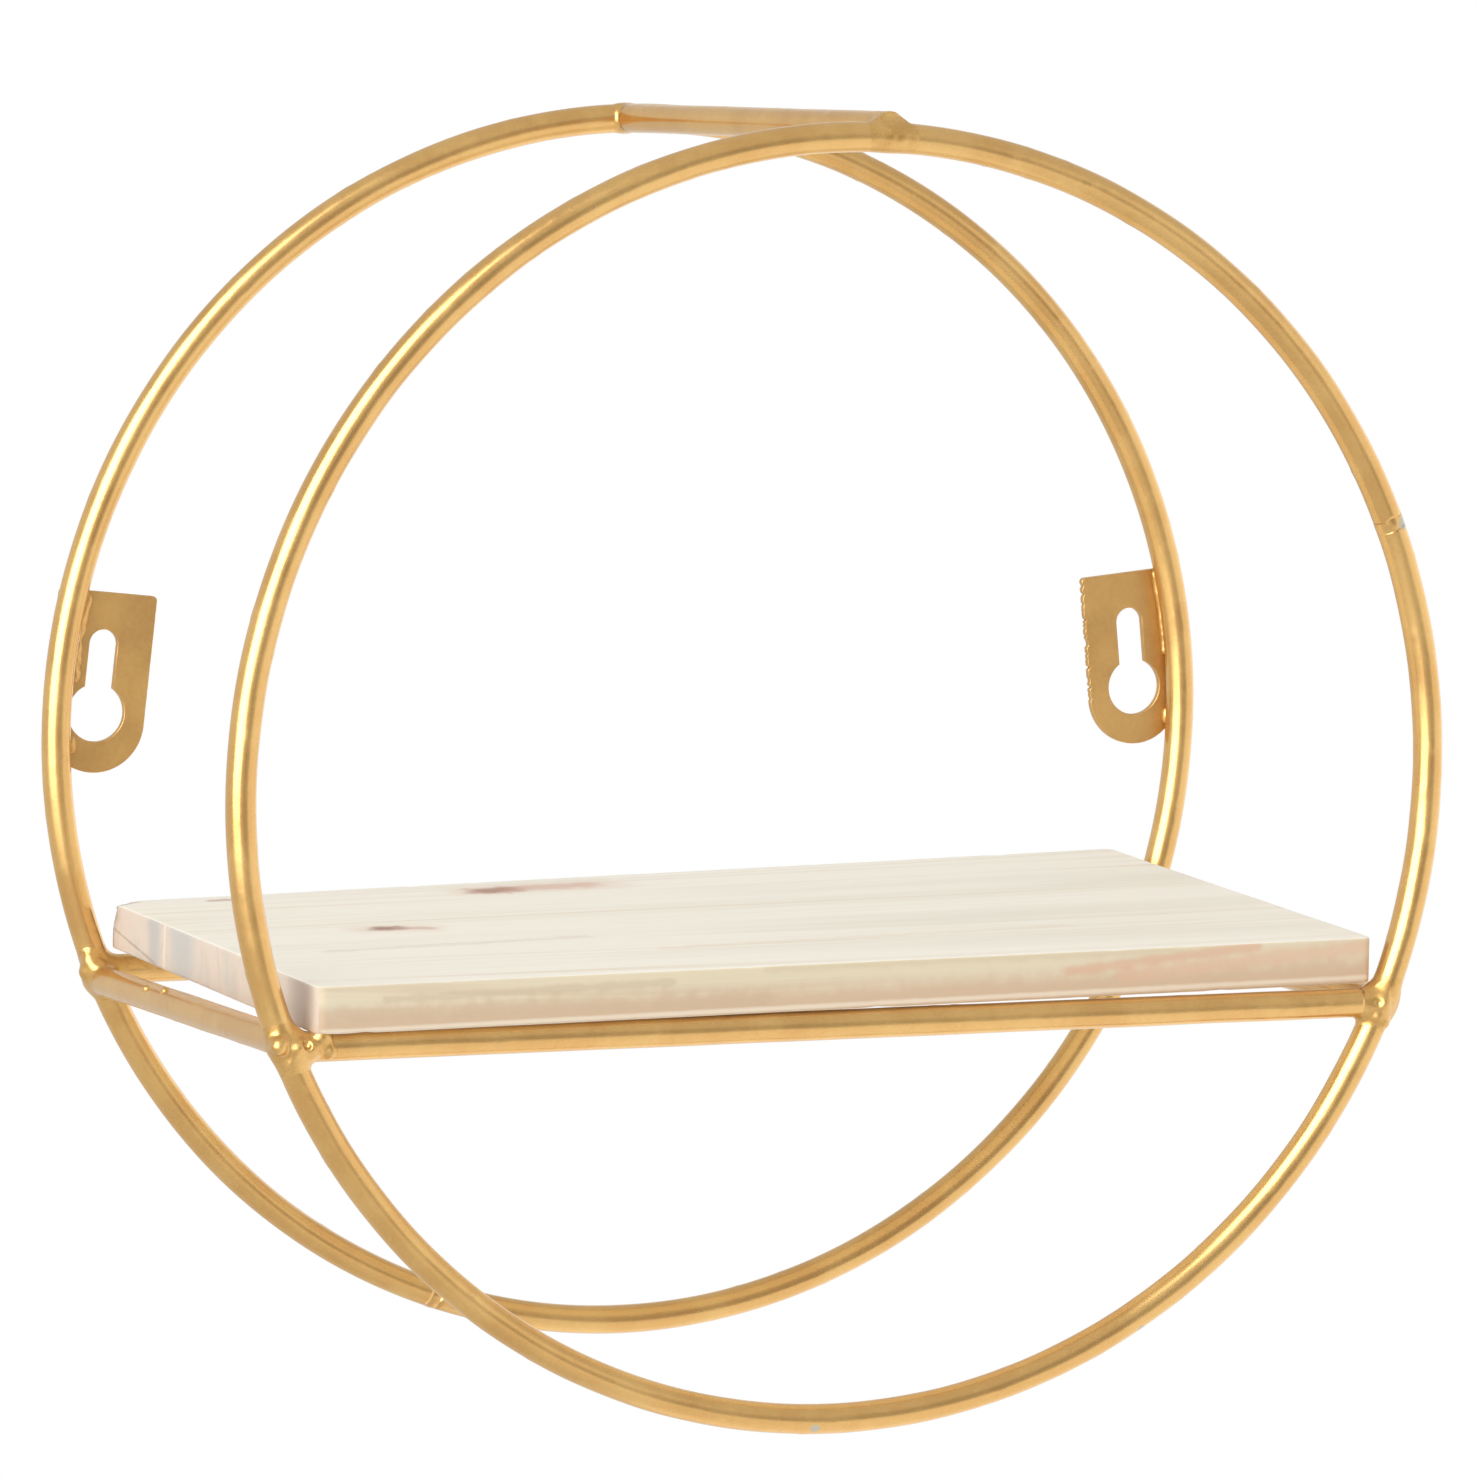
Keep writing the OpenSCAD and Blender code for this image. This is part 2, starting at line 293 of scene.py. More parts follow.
# %% [markdown]
# The shelf hangs on a wall, so the floor lies well below it. It is a thin disc of pale
# paper. Near the middle it is shaded paper that takes a soft shadow, and towards its rim it
# turns into plain white for the camera, so its edge melts into the background.

# %% The floor
FLOOR_DROP = 0.42
FLOOR_R = 1.5
FLOOR_T = 0.004
FLOOR_SIDES = 96
FLOOR_FADE = (0.25 * FLOOR_R, 0.85 * FLOOR_R)


def floor_material():
    material = bpy.data.materials.new("floor_paper")
    material.use_nodes = True
    tree = material.node_tree
    tree.nodes.clear()
    place = add(tree, "ShaderNodeTexCoord").outputs["Object"]
    reach = add(tree, "ShaderNodeVectorMath", {0: place}, operation="LENGTH").outputs["Value"]
    fibres = add(tree, "ShaderNodeTexNoise", {"Vector": place, "Scale": 180.0, "Detail": 3.0})
    colour = mix_colours(tree, fibres.outputs[0], screen(238, 238, 237), screen(246, 246, 245))
    paper = add(tree, "ShaderNodeBsdfDiffuse", {"Color": colour})
    glow = add(tree, "ShaderNodeEmission", {"Color": (1, 1, 1, 1), "Strength": 1.0})
    rays = add(tree, "ShaderNodeLightPath").outputs
    seen = math_node(tree, "MAXIMUM", rays["Is Camera Ray"], rays["Is Glossy Ray"])
    share = math_node(tree, "MULTIPLY", smooth_between(tree, reach, *FLOOR_FADE), seen)
    blend = add(tree, "ShaderNodeMixShader", {0: share, 1: paper.outputs[0], 2: glow.outputs[0]})
    add(tree, "ShaderNodeOutputMaterial", {"Surface": blend.outputs[0]})
    return material


def make_floor():
    turns = [2 * math.pi * i / FLOOR_SIDES for i in range(FLOOR_SIDES)]
    verts = [(FLOOR_R * math.cos(a), FLOOR_R * math.sin(a), z) for z in (0, -FLOOR_T) for a in turns]
    n = FLOOR_SIDES
    faces = [list(range(n)), list(range(2 * n - 1, n - 1, -1))]
    faces += [[i, i + n, (i + 1) % n + n, (i + 1) % n] for i in range(n)]
    mesh = bpy.data.meshes.new("floor")
    mesh.from_pydata(verts, [], faces)
    mesh.materials.append(floor_material())
    floor = bpy.data.objects.new("floor", mesh)
    floor.location = (0, (FRONT_Y + BACK_Y) / 2, CENTRE_Z - RING_R - FLOOR_DROP)
    floor.visible_glossy = False
    bpy.context.scene.collection.objects.link(floor)
    return floor


print("floor at", round(make_floor().location.z, 3), "m")

# %% [markdown]
# ## Gold paint
# The steel is sprayed with metallic lacquer. Sprayed metal is never one colour: flakes lie
# at different angles, the coat is thicker in corners, and the surface keeps a fine orange
# peel. Wire, weld metal and sheet share this effect, so it is one shader group with its own
# inputs, and each material places it with its own values. The group gives only a colour, a
# roughness and a height. The shader itself stays in each material.

# %% The sprayed lacquer group
def new_group(name, inputs, outputs):
    group = bpy.data.node_groups.new(name, "ShaderNodeTree")
    for label, kind, value in inputs:
        socket = group.interface.new_socket(label, in_out="INPUT", socket_type=kind)
        socket.default_value = value
    for label, kind in outputs:
        group.interface.new_socket(label, in_out="OUTPUT", socket_type=kind)
    given = group.nodes.new("NodeGroupInput").outputs
    return group, given, group.nodes.new("NodeGroupOutput").inputs


def sprayed_lacquer():
    group, given, result = new_group(
        "sprayed_lacquer",
        [("Light", "NodeSocketColor", (1, 1, 1, 1)), ("Deep", "NodeSocketColor", (0.5, 0.5, 0.5, 1)),
         ("Patch scale", "NodeSocketFloat", 60.0), ("Flake scale", "NodeSocketFloat", 1800.0),
         ("Smooth", "NodeSocketFloat", 0.2), ("Dull", "NodeSocketFloat", 0.35)],
        [("Color", "NodeSocketColor"), ("Roughness", "NodeSocketFloat"), ("Height", "NodeSocketFloat")])
    place = add(group, "ShaderNodeTexCoord").outputs["Object"]

    def noise(scale, detail, rough):
        values = {"Vector": place, "Scale": given[scale], "Detail": detail, "Roughness": rough}
        return add(group, "ShaderNodeTexNoise", values).outputs[0]

    cloud = smooth_between(group, noise("Patch scale", 4.0, 0.6), 0.35, 0.65)
    glint = smooth_between(group, noise("Flake scale", 2.0, 0.5), 0.30, 0.70)
    tone = math_node(group, "MULTIPLY_ADD", glint, 0.35, math_node(group, "MULTIPLY", cloud, 0.65))
    height = math_node(group, "MULTIPLY_ADD", cloud, 0.6, math_node(group, "MULTIPLY", glint, 0.4))
    plug(group, result["Color"], mix_colours(group, tone, given["Deep"], given["Light"]))
    plug(group, result["Roughness"], between(group, cloud, given["Smooth"], given["Dull"]))
    plug(group, result["Height"], height)
    return group


LACQUER = sprayed_lacquer()
print("group", LACQUER.name)

# %% [markdown]
# A knock takes the lacquer off and leaves a small pale scar. A second group gives a soft
# mask round one point. The front ring has three such scars, and each one places the group
# with its own centre and size.

# %% The scar group
def scar_mask():
    group, given, result = new_group(
        "scar_mask",
        [("Centre", "NodeSocketVector", (0, 0, 0)), ("Size", "NodeSocketFloat", 0.002)],
        [("Mask", "NodeSocketFloat")])
    place = add(group, "ShaderNodeTexCoord").outputs["Object"]
    apart = add(group, "ShaderNodeVectorMath", {0: place, 1: given["Centre"]}, operation="DISTANCE")
    ragged = add(group, "ShaderNodeTexNoise", {"Vector": place, "Scale": 1500.0, "Detail": 3.0})
    share = math_node(group, "DIVIDE", apart.outputs["Value"], given["Size"])
    wobble = math_node(group, "MULTIPLY_ADD", ragged.outputs[0], 0.9, -0.45)
    edge = math_node(group, "ADD", share, wobble)
    plug(group, result["Mask"], smooth_between(group, edge, 1.1, 0.6))
    return group


SCAR = scar_mask()
print("group", SCAR.name)

# %% [markdown]
# The materials themselves differ little. The wire is the smoothest. Weld metal is rougher
# under the same lacquer, so its highlights are wider. The sheet of the tabs is dull and
# speckled, as thin paint on rolled steel is. A little clear coat lies over all of them.

# %% The painted steel materials
GOLD_LIGHT = screen(243, 198, 124)
GOLD_DEEP = screen(230, 179, 106)
SCAR_COLOUR = screen(194, 188, 166)
SCAR_DULL = 0.6
COAT_WEIGHT = 0.4
COAT_ROUGHNESS = 0.2


def new_material(name):
    material = bpy.data.materials.new(name)
    material.use_nodes = True
    return material, material.node_tree, material.node_tree.nodes["Principled BSDF"].inputs


def bumpy(tree, shader, height, strength, distance):
    relief = add(tree, "ShaderNodeBump", {"Height": height, "Strength": strength, "Distance": distance})
    plug(tree, shader["Normal"], relief.outputs["Normal"])


def painted_steel(name, light, deep, patch, flake, smooth, dull, bump, metallic=0.85, scars=()):
    material, tree, shader = new_material(name)
    values = {"Light": light, "Deep": deep, "Patch scale": patch, "Flake scale": flake,
              "Smooth": smooth, "Dull": dull}
    lacquer = add(tree, "ShaderNodeGroup", values, node_tree=LACQUER).outputs
    colour = lacquer["Color"]
    shader["Metallic"].default_value = metallic
    if scars:
        masks = [add(tree, "ShaderNodeGroup", {"Centre": centre, "Size": size}, node_tree=SCAR).outputs[0]
                 for centre, size in scars]
        worn = masks[0]
        for mask in masks[1:]:
            worn = math_node(tree, "MAXIMUM", worn, mask)
        colour = mix_colours(tree, worn, colour, SCAR_COLOUR)
        bare = math_node(tree, "MULTIPLY_ADD", worn, -SCAR_DULL * metallic, metallic)
        plug(tree, shader["Metallic"], bare)
    plug(tree, shader["Base Color"], colour)
    plug(tree, shader["Roughness"], lacquer["Roughness"])
    shader["Coat Weight"].default_value = COAT_WEIGHT
    shader["Coat Roughness"].default_value = COAT_ROUGHNESS
    bumpy(tree, shader, lacquer["Height"], 0.35, bump)
    return material


def on_front_ring(degrees, turn):
    """A point on the front ring's surface. turn 0 is its outer side and 90 its front."""
    angle, round_wire = math.radians(degrees), math.radians(turn)
    reach = RING_R + WIRE_R * math.cos(round_wire)
    return Vector((reach * math.cos(angle), FRONT_Y - WIRE_R * math.sin(round_wire),
                   CENTRE_Z + reach * math.sin(angle)))


SCARS = [(on_front_ring(22.7, 52), 1.5 * MM), (on_front_ring(-60, 30), 1.3 * MM),
         (on_front_ring(-93, 60), 1.1 * MM)]
WIRE_GOLD = painted_steel("gold_wire", GOLD_LIGHT, GOLD_DEEP, 70.0, 2200.0, 0.19, 0.27, 0.03 * MM,
                          scars=SCARS)
WELD_GOLD = painted_steel("gold_weld", GOLD_LIGHT, screen(220, 170, 94), 160.0, 2200.0, 0.28, 0.38,
                          0.04 * MM)
TAB_GOLD = painted_steel("gold_tab", screen(224, 178, 108), screen(212, 164, 96), 90.0, 1100.0,
                         0.34, 0.42, 0.06 * MM, metallic=0.75)
print("painted steel:", WIRE_GOLD.name, WELD_GOLD.name, TAB_GOLD.name)

# %% [markdown]
# ## Drawn wire
# Every ring, rail and bar is the same round wire. A curve with a bevel would make one
# quickly, but it gives a perfect tube. Real drawn wire has faint flats from bending, and the
# paint dries with small nibs in it. So the tube is swept here from a grid of points round
# and along the wire, and the radius of each point carries those marks.

# %% Sweep a tube
WIRE_SIDES = 36
WIRE_STEP = 1.0 * MM
WAVE_HEIGHT = 0.012 * MM
rng = random.Random(7)


def add_piece(name, verts, faces, materials):
    mesh = bpy.data.meshes.new(name)
    mesh.from_pydata([tuple(v) for v in verts], [], faces)
    mesh.validate()
    mesh.update()
    for material in materials:
        mesh.materials.append(material)
    mesh.polygons.foreach_set("use_smooth", [True] * len(mesh.polygons))
    piece = bpy.data.objects.new(name, mesh)
    bpy.context.scene.collection.objects.link(piece)
    return piece


def paint_relief(length, nibs, step):
    """Height of the paint and the wire's own faint waves, on the grid along and round a wire."""
    count = max(4, round(length / step))
    along = np.linspace(0, length, count + 1)[:, None]
    turn = np.linspace(0, 2 * math.pi, WIRE_SIDES, endpoint=False)[None, :]
    height = np.zeros((count + 1, WIRE_SIDES))
    for wave in range(1, 6):
        pitch = rng.uniform(18, 60) * MM
        shift = rng.uniform(0, 2 * math.pi)
        height += WAVE_HEIGHT * np.sin(2 * math.pi * along / pitch + wave % 3 * turn + shift)
    for _ in range(nibs):
        at, side = rng.uniform(0, length), rng.uniform(0, 2 * math.pi)
        wide, tall = rng.uniform(0.5, 1.1) * MM, rng.uniform(0.03, 0.10) * MM
        round_way = (turn - side + math.pi) % (2 * math.pi) - math.pi
        height += tall * np.exp(-((along - at) ** 2 + (round_way * WIRE_R) ** 2) / wide ** 2)
    return along[:, 0], turn[0], height


def sweep(name, length, frame_at, nibs, step=WIRE_STEP, base_r=None):
    """A capped tube. frame_at(s) gives the centre, outward and sideways directions there."""
    along, turn, relief = paint_relief(length, nibs, step)
    radius = (WIRE_R if base_r is None else base_r(along)[:, None]) + relief
    verts = []
    for s, ring in zip(along, radius):
        centre, out, side = frame_at(s)
        verts += [centre + out * (r * math.cos(a)) + side * (r * math.sin(a))
                  for a, r in zip(turn, ring)]
    n, rows = WIRE_SIDES, len(along)
    faces = [[i * n + j, i * n + (j + 1) % n, (i + 1) * n + (j + 1) % n, (i + 1) * n + j]
             for i in range(rows - 1) for j in range(n)]
    faces += [list(range(n - 1, -1, -1)), [(rows - 1) * n + j for j in range(n)]]
    return add_piece(name, verts, faces, [WIRE_GOLD])


print("tube of", WIRE_SIDES, "sides every", WIRE_STEP / MM, "mm")

# %% [markdown]
# ## The two rings
# A ring is one length of wire rolled to a circle and butt welded. It starts and ends at its
# seam, so the tube here is open and leaves the same short gap that the frame has. The seam
# weld then closes it.

# %% Rings
FRONT_SEAM = math.radians(23)
BACK_SEAM = math.radians(250)
SEAM_LENGTH = 1.6 * MM


def on_circle(y, start):
    def frame_at(s):
        angle = start + s / RING_R
        out = Vector((math.cos(angle), 0, math.sin(angle)))
        return Vector((0, y, CENTRE_Z)) + out * RING_R, out, Vector((0, -1, 0))
    return frame_at


def make_ring(name, y, seam):
    span = SEAM_LENGTH / RING_R
    length = 2 * math.pi * RING_R - SEAM_LENGTH
    ring = sweep(name + "_wire", length, on_circle(y, seam + span / 2), nibs=260)
    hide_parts(name)
    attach(ring, "frame")
    return ring


for name, y, seam in (("front_ring", FRONT_Y, FRONT_SEAM), ("back_ring", BACK_Y, BACK_SEAM)):
    print(name, len(make_ring(name, y, seam).data.vertices), "points")

# %% [markdown]
# ## Rails and bars
# Five straight lengths of the same wire join the rings: the two rails that carry the board
# and three bars from ring to ring. They were held by hand while they were welded, so the
# left bar slopes a little and the top bar crosses the rings at a slant.

# %% Rails and bars
BAR_LOW_BACK = 2 * MM
BAR_HIGH_FRONT = 1 * MM
TOP_BACK_LEFT = 4 * MM
TOP_FRONT_RIGHT = 5.5 * MM
TOP_FRONT_HIGH = 2 * MM


def straight(start, end):
    axis = (end - start).normalized()
    out = Vector((0, 0, 1)) if abs(axis.z) < 0.9 else Vector((1, 0, 0))
    side = axis.cross(out).normalized()
    out = side.cross(axis)
    return (end - start).length, lambda s: (start + axis * s, out, side)


def make_straight(node, start, end, nibs):
    length, frame_at = straight(start, end)
    wire = sweep(node + "_wire", length, frame_at, nibs)
    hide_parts(node)
    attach(wire, "frame")
    return wire


def bar_ends(back, front):
    """The bar's two ends, cut where it meets the rings' wires."""
    reach = front - back
    cut = WIRE_R / abs(reach.y)
    return back + reach * cut, front - reach * cut


STRAIGHTS = {
    "front_rail": (Vector((-RAIL_HALF, FRONT_Y, RAIL_Z)), Vector((RAIL_HALF, FRONT_Y, RAIL_Z))),
    "back_rail": (Vector((-RAIL_HALF, BACK_Y, RAIL_Z)), Vector((RAIL_HALF, BACK_Y, RAIL_Z))),
    "left_side_bar": bar_ends(Vector((-JOINT_X, BACK_Y, RAIL_Z - BAR_LOW_BACK)),
                              Vector((-JOINT_X, FRONT_Y, RAIL_Z + BAR_HIGH_FRONT))),
    "right_side_bar": bar_ends(Vector((JOINT_X, BACK_Y, RAIL_Z)), Vector((JOINT_X, FRONT_Y, RAIL_Z))),
    "top_bar": bar_ends(Vector((-TOP_BACK_LEFT, BACK_Y, RING_TOP)),
                        Vector((TOP_FRONT_RIGHT, FRONT_Y, RING_TOP + TOP_FRONT_HIGH))),
}
for node, (start, end) in STRAIGHTS.items():
    print(node, len(make_straight(node, start, end, nibs=60).data.vertices), "points")

# %% [markdown]
# ## Weld metal
# A weld is metal that was liquid: it wets the wires, pulls into a smooth fillet between them
# and freezes with beads on top. Spheres pushed into each other show creases that a weld
# doesn't have. A distance field shows none: each wire and bead gives the distance to its
# surface, a smooth minimum melts them together, and the skin lies where the result is zero.

# %% Distance fields
# a rod's field runs on past its cut end, so that no slit stays between it and the ring
ROD_RUN_ON = 3.6 * MM
# at its reach a weld's skin ends this far under the wire's own surface
SKIN_UNDER = 0.12 * MM


def melt(first, second, softness):
    """The smaller of two distances, with a fillet of about that softness between them."""
    share = np.clip(0.5 + 0.5 * (second - first) / softness, 0, 1)
    return second * (1 - share) + first * share - softness * share * (1 - share)


def distance(points, centre):
    return np.linalg.norm(points - np.array(centre), axis=-1)


def skin_radius(apart, reach, proud):
    """A weld's skin over a wire: proud near the joint, and under the paint at its reach."""
    fade = np.clip(apart / reach, 0, 1)
    return WIRE_R + proud * (1 - fade ** 2 * (3 - 2 * fade)) - SKIN_UNDER * fade


def rod_field(points, start, end, joint, reach, proud):
    start, end = np.array(start), np.array(end)
    length = np.linalg.norm(end - start)
    axis = (end - start) / length
    along = (points - start) @ axis
    off = np.linalg.norm(points - start - along[..., None] * axis, axis=-1)
    apart = distance(points, joint)
    side = off - skin_radius(apart, reach, proud)
    beyond = np.maximum(-along, along - length) - ROD_RUN_ON
    return np.maximum(np.maximum(side, beyond), apart - reach)


def ring_field(points, y, joint, reach, proud):
    across = np.hypot(points[..., 0], points[..., 2] - CENTRE_Z) - RING_R
    apart = distance(points, joint)
    off = np.hypot(across, points[..., 1] - y)
    return np.maximum(off - skin_radius(apart, reach, proud), apart - reach)


def ripple(points, pitch, seed):
    """Soft three-way waves between -1 and 1, for the unevenness of frozen metal."""
    local = random.Random(seed)
    waves = 6
    total = np.zeros(points.shape[:-1])
    for _ in range(waves):
        way = np.array([local.gauss(0, 1) for _ in range(3)])
        way *= 2 * math.pi / (pitch * np.linalg.norm(way))
        total += np.sin(points @ way + local.uniform(0, 2 * math.pi))
    return total / waves


print("weld skins run on", ROD_RUN_ON / MM, "mm past a rod's end")

# %% [markdown]
# The field becomes a mesh by surface nets. Every grid cell that the surface crosses gets one
# point, at the middle of the crossings on its edges. Every grid edge that the surface crosses
# gets one face, between the four cells round it.

# %% Surface nets
def field_points(low, high, step):
    counts = [int(math.ceil((b - a) / step)) + 1 for a, b in zip(low, high)]
    axes = [a + step * np.arange(n) for a, n in zip(low, counts)]
    return np.stack(np.meshgrid(*axes, indexing="ij"), axis=-1)


def net_points(field, inside):
    """The middle of the crossings in every cell, in grid steps, and how many there are."""
    shape = np.array(field.shape) - 1
    total, count = np.zeros((*shape, 3)), np.zeros(shape)
    corner = np.indices(shape).transpose(1, 2, 3, 0)
    for axis, (i, j) in itertools.product(range(3), itertools.product((0, 1), repeat=2)):
        offset = np.insert([i, j], axis, 0)
        ahead = offset + np.eye(3, dtype=int)[axis]
        first, second = [tuple(slice(o, o + n) for o, n in zip(place, shape))
                         for place in (offset, ahead)]
        cross = inside[first] != inside[second]
        span = np.where(cross, field[first] - field[second], 1)
        place = (corner + offset).astype(float)
        place[..., axis] += np.where(cross, field[first] / span, 0)
        total += np.where(cross[..., None], place, 0)
        count += cross
    return total, count


def net_faces(inside, index, axis):
    """The faces across the grid edges that run along one axis, turned outwards."""
    along = np.eye(3, dtype=int)[axis]
    back_u, back_v = np.delete(np.eye(3, dtype=int), axis, axis=0)
    start = 1 - along
    here = tuple(slice(s, n) for s, n in zip(start, index.shape))
    ahead = tuple(slice(s + a, n + a) for s, a, n in zip(start, along, index.shape))
    flips = inside[here] != inside[ahead]
    spots = np.argwhere(flips) + start
    around = [spots, spots - back_u, spots - back_u - back_v, spots - back_v]
    quads = np.stack([index[tuple(spot.T)] for spot in around], axis=1)
    outward = inside[here][flips] ^ (axis == 1)
    quads[~outward] = quads[~outward][:, ::-1]
    return quads


def surface_net(field, low, step):
    inside = field < 0
    total, count = net_points(field, inside)
    crossed = count > 0
    index = -np.ones(count.shape, int)
    index[crossed] = np.arange(crossed.sum())
    verts = total[crossed] / count[crossed][:, None] * step + np.array(low)
    return verts, np.concatenate([net_faces(inside, index, axis) for axis in range(3)])


print("surface nets ready")

# %% [markdown]
# ## The joints
# A joint's field starts with the ring's wire, slightly thickened. The other wires melt into
# it with a fillet, then the beads, and a pit is taken out in the same soft way. A faint
# ripple keeps the skin from looking moulded. A lone drop on a bar is the same, only smaller.

# %% Melted joints
WELD_REACH = 8.5 * MM
WELD_PROUD = 0.42 * MM
WELD_STEP = 0.22 * MM
PIT_SOFT = 0.7 * MM
DROP_SOFT = 0.8 * MM


def weld_net(joint, ring_y, rods, beads, pits=(), fillet=1.5, bead_melt=1.1, proud=WELD_PROUD, seed=1):
    low = np.array(joint) - 1.4 * WELD_REACH
    points = field_points(low, low + 2.8 * WELD_REACH, WELD_STEP)

    def ball(right, front, up, size):
        return distance(points, Vector(joint) + Vector((right, -front, up)) * WIRE_R) - size * WIRE_R

    field = ring_field(points, ring_y, joint, WELD_REACH, proud)
    for start, end in rods:
        field = melt(field, rod_field(points, start, end, joint, WELD_REACH, proud), fillet * MM)
    for bead in beads:
        field = melt(field, ball(*bead), bead_melt * MM)
    for pit in pits:
        field = -melt(-field, ball(*pit), PIT_SOFT)
    near = 1 - np.clip(distance(points, joint) / WELD_REACH, 0, 1)
    return surface_net(field - near * 0.10 * MM * ripple(points, 2.2 * MM, seed), low, WELD_STEP)


def drop_net(centre, radius, rod, seed):
    """A drop of weld metal that froze on a wire."""
    reach = 1.9 * radius
    low = np.array(centre) - 1.2 * reach
    points = field_points(low, low + 2.4 * reach, WELD_STEP)
    wire = rod_field(points, *rod, centre, reach, 0.15 * MM)
    field = melt(wire, distance(points, centre) - radius, DROP_SOFT)
    return surface_net(field - 0.06 * MM * ripple(points, 2.0 * MM, seed), low, WELD_STEP)


def weld_piece(name, nets):
    verts, faces = [], []
    for net_verts, quads in nets:
        faces += (quads + len(verts)).tolist()
        verts += list(net_verts)
    return add_piece(name, verts, faces, [WELD_GOLD])


def make_weld(name, node, drops=(), **joint):
    nets = [weld_net(**joint)]
    nets += [drop_net(*drop, seed) for seed, drop in enumerate(drops, joint["seed"])]
    weld = weld_piece(name, nets)
    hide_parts(node)
    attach(weld, "frame")
    return weld


print("weld grid", WELD_STEP / MM, "mm, reach", WELD_REACH / MM, "mm")

# %% [markdown]
# Each joint is described by where its wires run and by its beads, in wire radii to the
# right, to the front and up. The left front joint has a row of bright beads, as if the torch
# had been lifted again and again. The right front one ran smooth, with a small pit on each
# side. Two lumps on the back rail hold up the board's back corners, and two small drops
# froze on the left bar.

# %% The six joints
FRONT_LEFT, FRONT_RIGHT, BACK_LEFT, BACK_RIGHT = [
    Vector((side * JOINT_X, y, RAIL_Z)) for y in (FRONT_Y, BACK_Y) for side in (-1, 1)]
TOP_BACK = Vector((-TOP_BACK_LEFT, BACK_Y, RING_TOP))
TOP_FRONT = Vector((TOP_FRONT_RIGHT, FRONT_Y, RING_TOP))
FRONT_RAIL, BACK_RAIL, LEFT_BAR, RIGHT_BAR, TOP_BAR = STRAIGHTS.values()
HEEL_R = 0.95 * WIRE_R
HEEL_X = RAIL_HALF - 2 * WIRE_R
HEEL_HIGH = {-1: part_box("weld_back_left")[1].z, 1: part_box("weld_back_right")[1].z}


def heel(side):
    """The lump on the back rail that a back corner of the board rests on."""
    return Vector((side * HEEL_X, BACK_Y, HEEL_HIGH[side] - HEEL_R)), HEEL_R, BACK_RAIL


def spatter(share, turn, size):
    start, end = LEFT_BAR
    out = Vector((math.cos(math.radians(turn)), 0, math.sin(math.radians(turn))))
    return start.lerp(end, share) + out * WIRE_R, size * WIRE_R, LEFT_BAR


JOINTS = [
    dict(name="front_left_weld", node="weld_front_left", joint=FRONT_LEFT, ring_y=FRONT_Y,
         rods=[FRONT_RAIL, LEFT_BAR], seed=3, fillet=2.2, bead_melt=1.5,
         beads=[(-0.78, 1.05, 0.28, 0.58), (0.52, 1.12, 0.12, 0.46), (1.45, 0.80, -0.05, 0.60),
                (2.45, 0.62, 0.55, 0.50), (2.15, 0.70, 0.90, 0.40), (2.90, 0.75, -0.25, 0.42),
                (0.60, 0.45, -0.80, 0.60)],
         pits=[(1.05, 1.28, 0.30, 0.26)]),
    dict(name="front_right_weld", node="weld_front_right", joint=FRONT_RIGHT, ring_y=FRONT_Y,
         rods=[FRONT_RAIL, RIGHT_BAR], fillet=2.4, bead_melt=1.0, seed=5,
         beads=[(-0.15, 0.66, 0.05, 0.62), (-0.55, 0.78, -0.95, 0.36), (-0.10, 0.80, -1.35, 0.34)],
         pits=[(-0.75, 1.30, 0.10, 0.22), (0.42, 1.32, -0.05, 0.14)]),
    dict(name="back_left_weld", node="weld_back_left", joint=BACK_LEFT, ring_y=BACK_Y,
         rods=[BACK_RAIL, LEFT_BAR], seed=8, fillet=2.0, bead_melt=1.7,
         beads=[(-0.95, 0.85, 0.85, 0.42), (-0.65, 1.02, 0.40, 0.44), (-0.25, 1.15, 0.02, 0.42),
                (0.25, 1.15, -0.30, 0.36), (-1.00, 0.50, -0.10, 0.50)],
         drops=[heel(-1), spatter(0.31, 135, 0.20), spatter(0.40, 118, 0.27)]),
    dict(name="back_right_weld", node="weld_back_right", joint=BACK_RIGHT, ring_y=BACK_Y,
         rods=[BACK_RAIL, RIGHT_BAR], seed=11, fillet=2.0,
         beads=[(-1.30, 0.67, -0.73, 0.58), (0.33, 1.03, -0.53, 0.58), (0.87, 0.67, 0.63, 0.53),
                (-0.47, 0.37, -1.20, 0.56)],
         drops=[heel(1)]),
    dict(name="top_back_weld", node="weld_top_back", joint=TOP_BACK, ring_y=BACK_Y,
         rods=[TOP_BAR], seed=14, fillet=1.1, proud=0.07 * MM, beads=[]),
    dict(name="top_front_weld", node="weld_top_front", joint=TOP_FRONT, ring_y=FRONT_Y,
         rods=[TOP_BAR], seed=17, fillet=2.0, bead_melt=1.4, proud=0.28 * MM,
         beads=[(-0.80, -0.45, 0.15, 0.42), (0.95, -0.30, 0.45, 0.44), (1.45, -0.10, 0.25, 0.34)]),
]
for joint in JOINTS:
    print(joint["name"], len(make_weld(**joint).data.vertices), "points")

# %% [markdown]
# Where a ring's two ends meet, the butt weld was ground flush and painted over. What is left
# is a low collar that is hard to see. It is the same swept tube, only finer, with a bulge.

# %% The ring seams
SEAM_STEP = 0.25 * MM
SEAM_PROUD = 0.07 * MM
SEAM_UNDER = 0.06 * MM


def make_seam(node, y, seam):
    spread = 1.5 * SEAM_LENGTH

    def bulge(along):
        off = np.abs(along - spread) / spread
        return WIRE_R + (SEAM_PROUD + SEAM_UNDER) * np.exp(-(2.0 * off) ** 2) - SEAM_UNDER

    start = seam - spread / RING_R
    piece = sweep(node + "_weld", 2 * spread, on_circle(y, start), nibs=0, step=SEAM_STEP, base_r=bulge)
    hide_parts(node)
    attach(piece, "frame")
    return piece


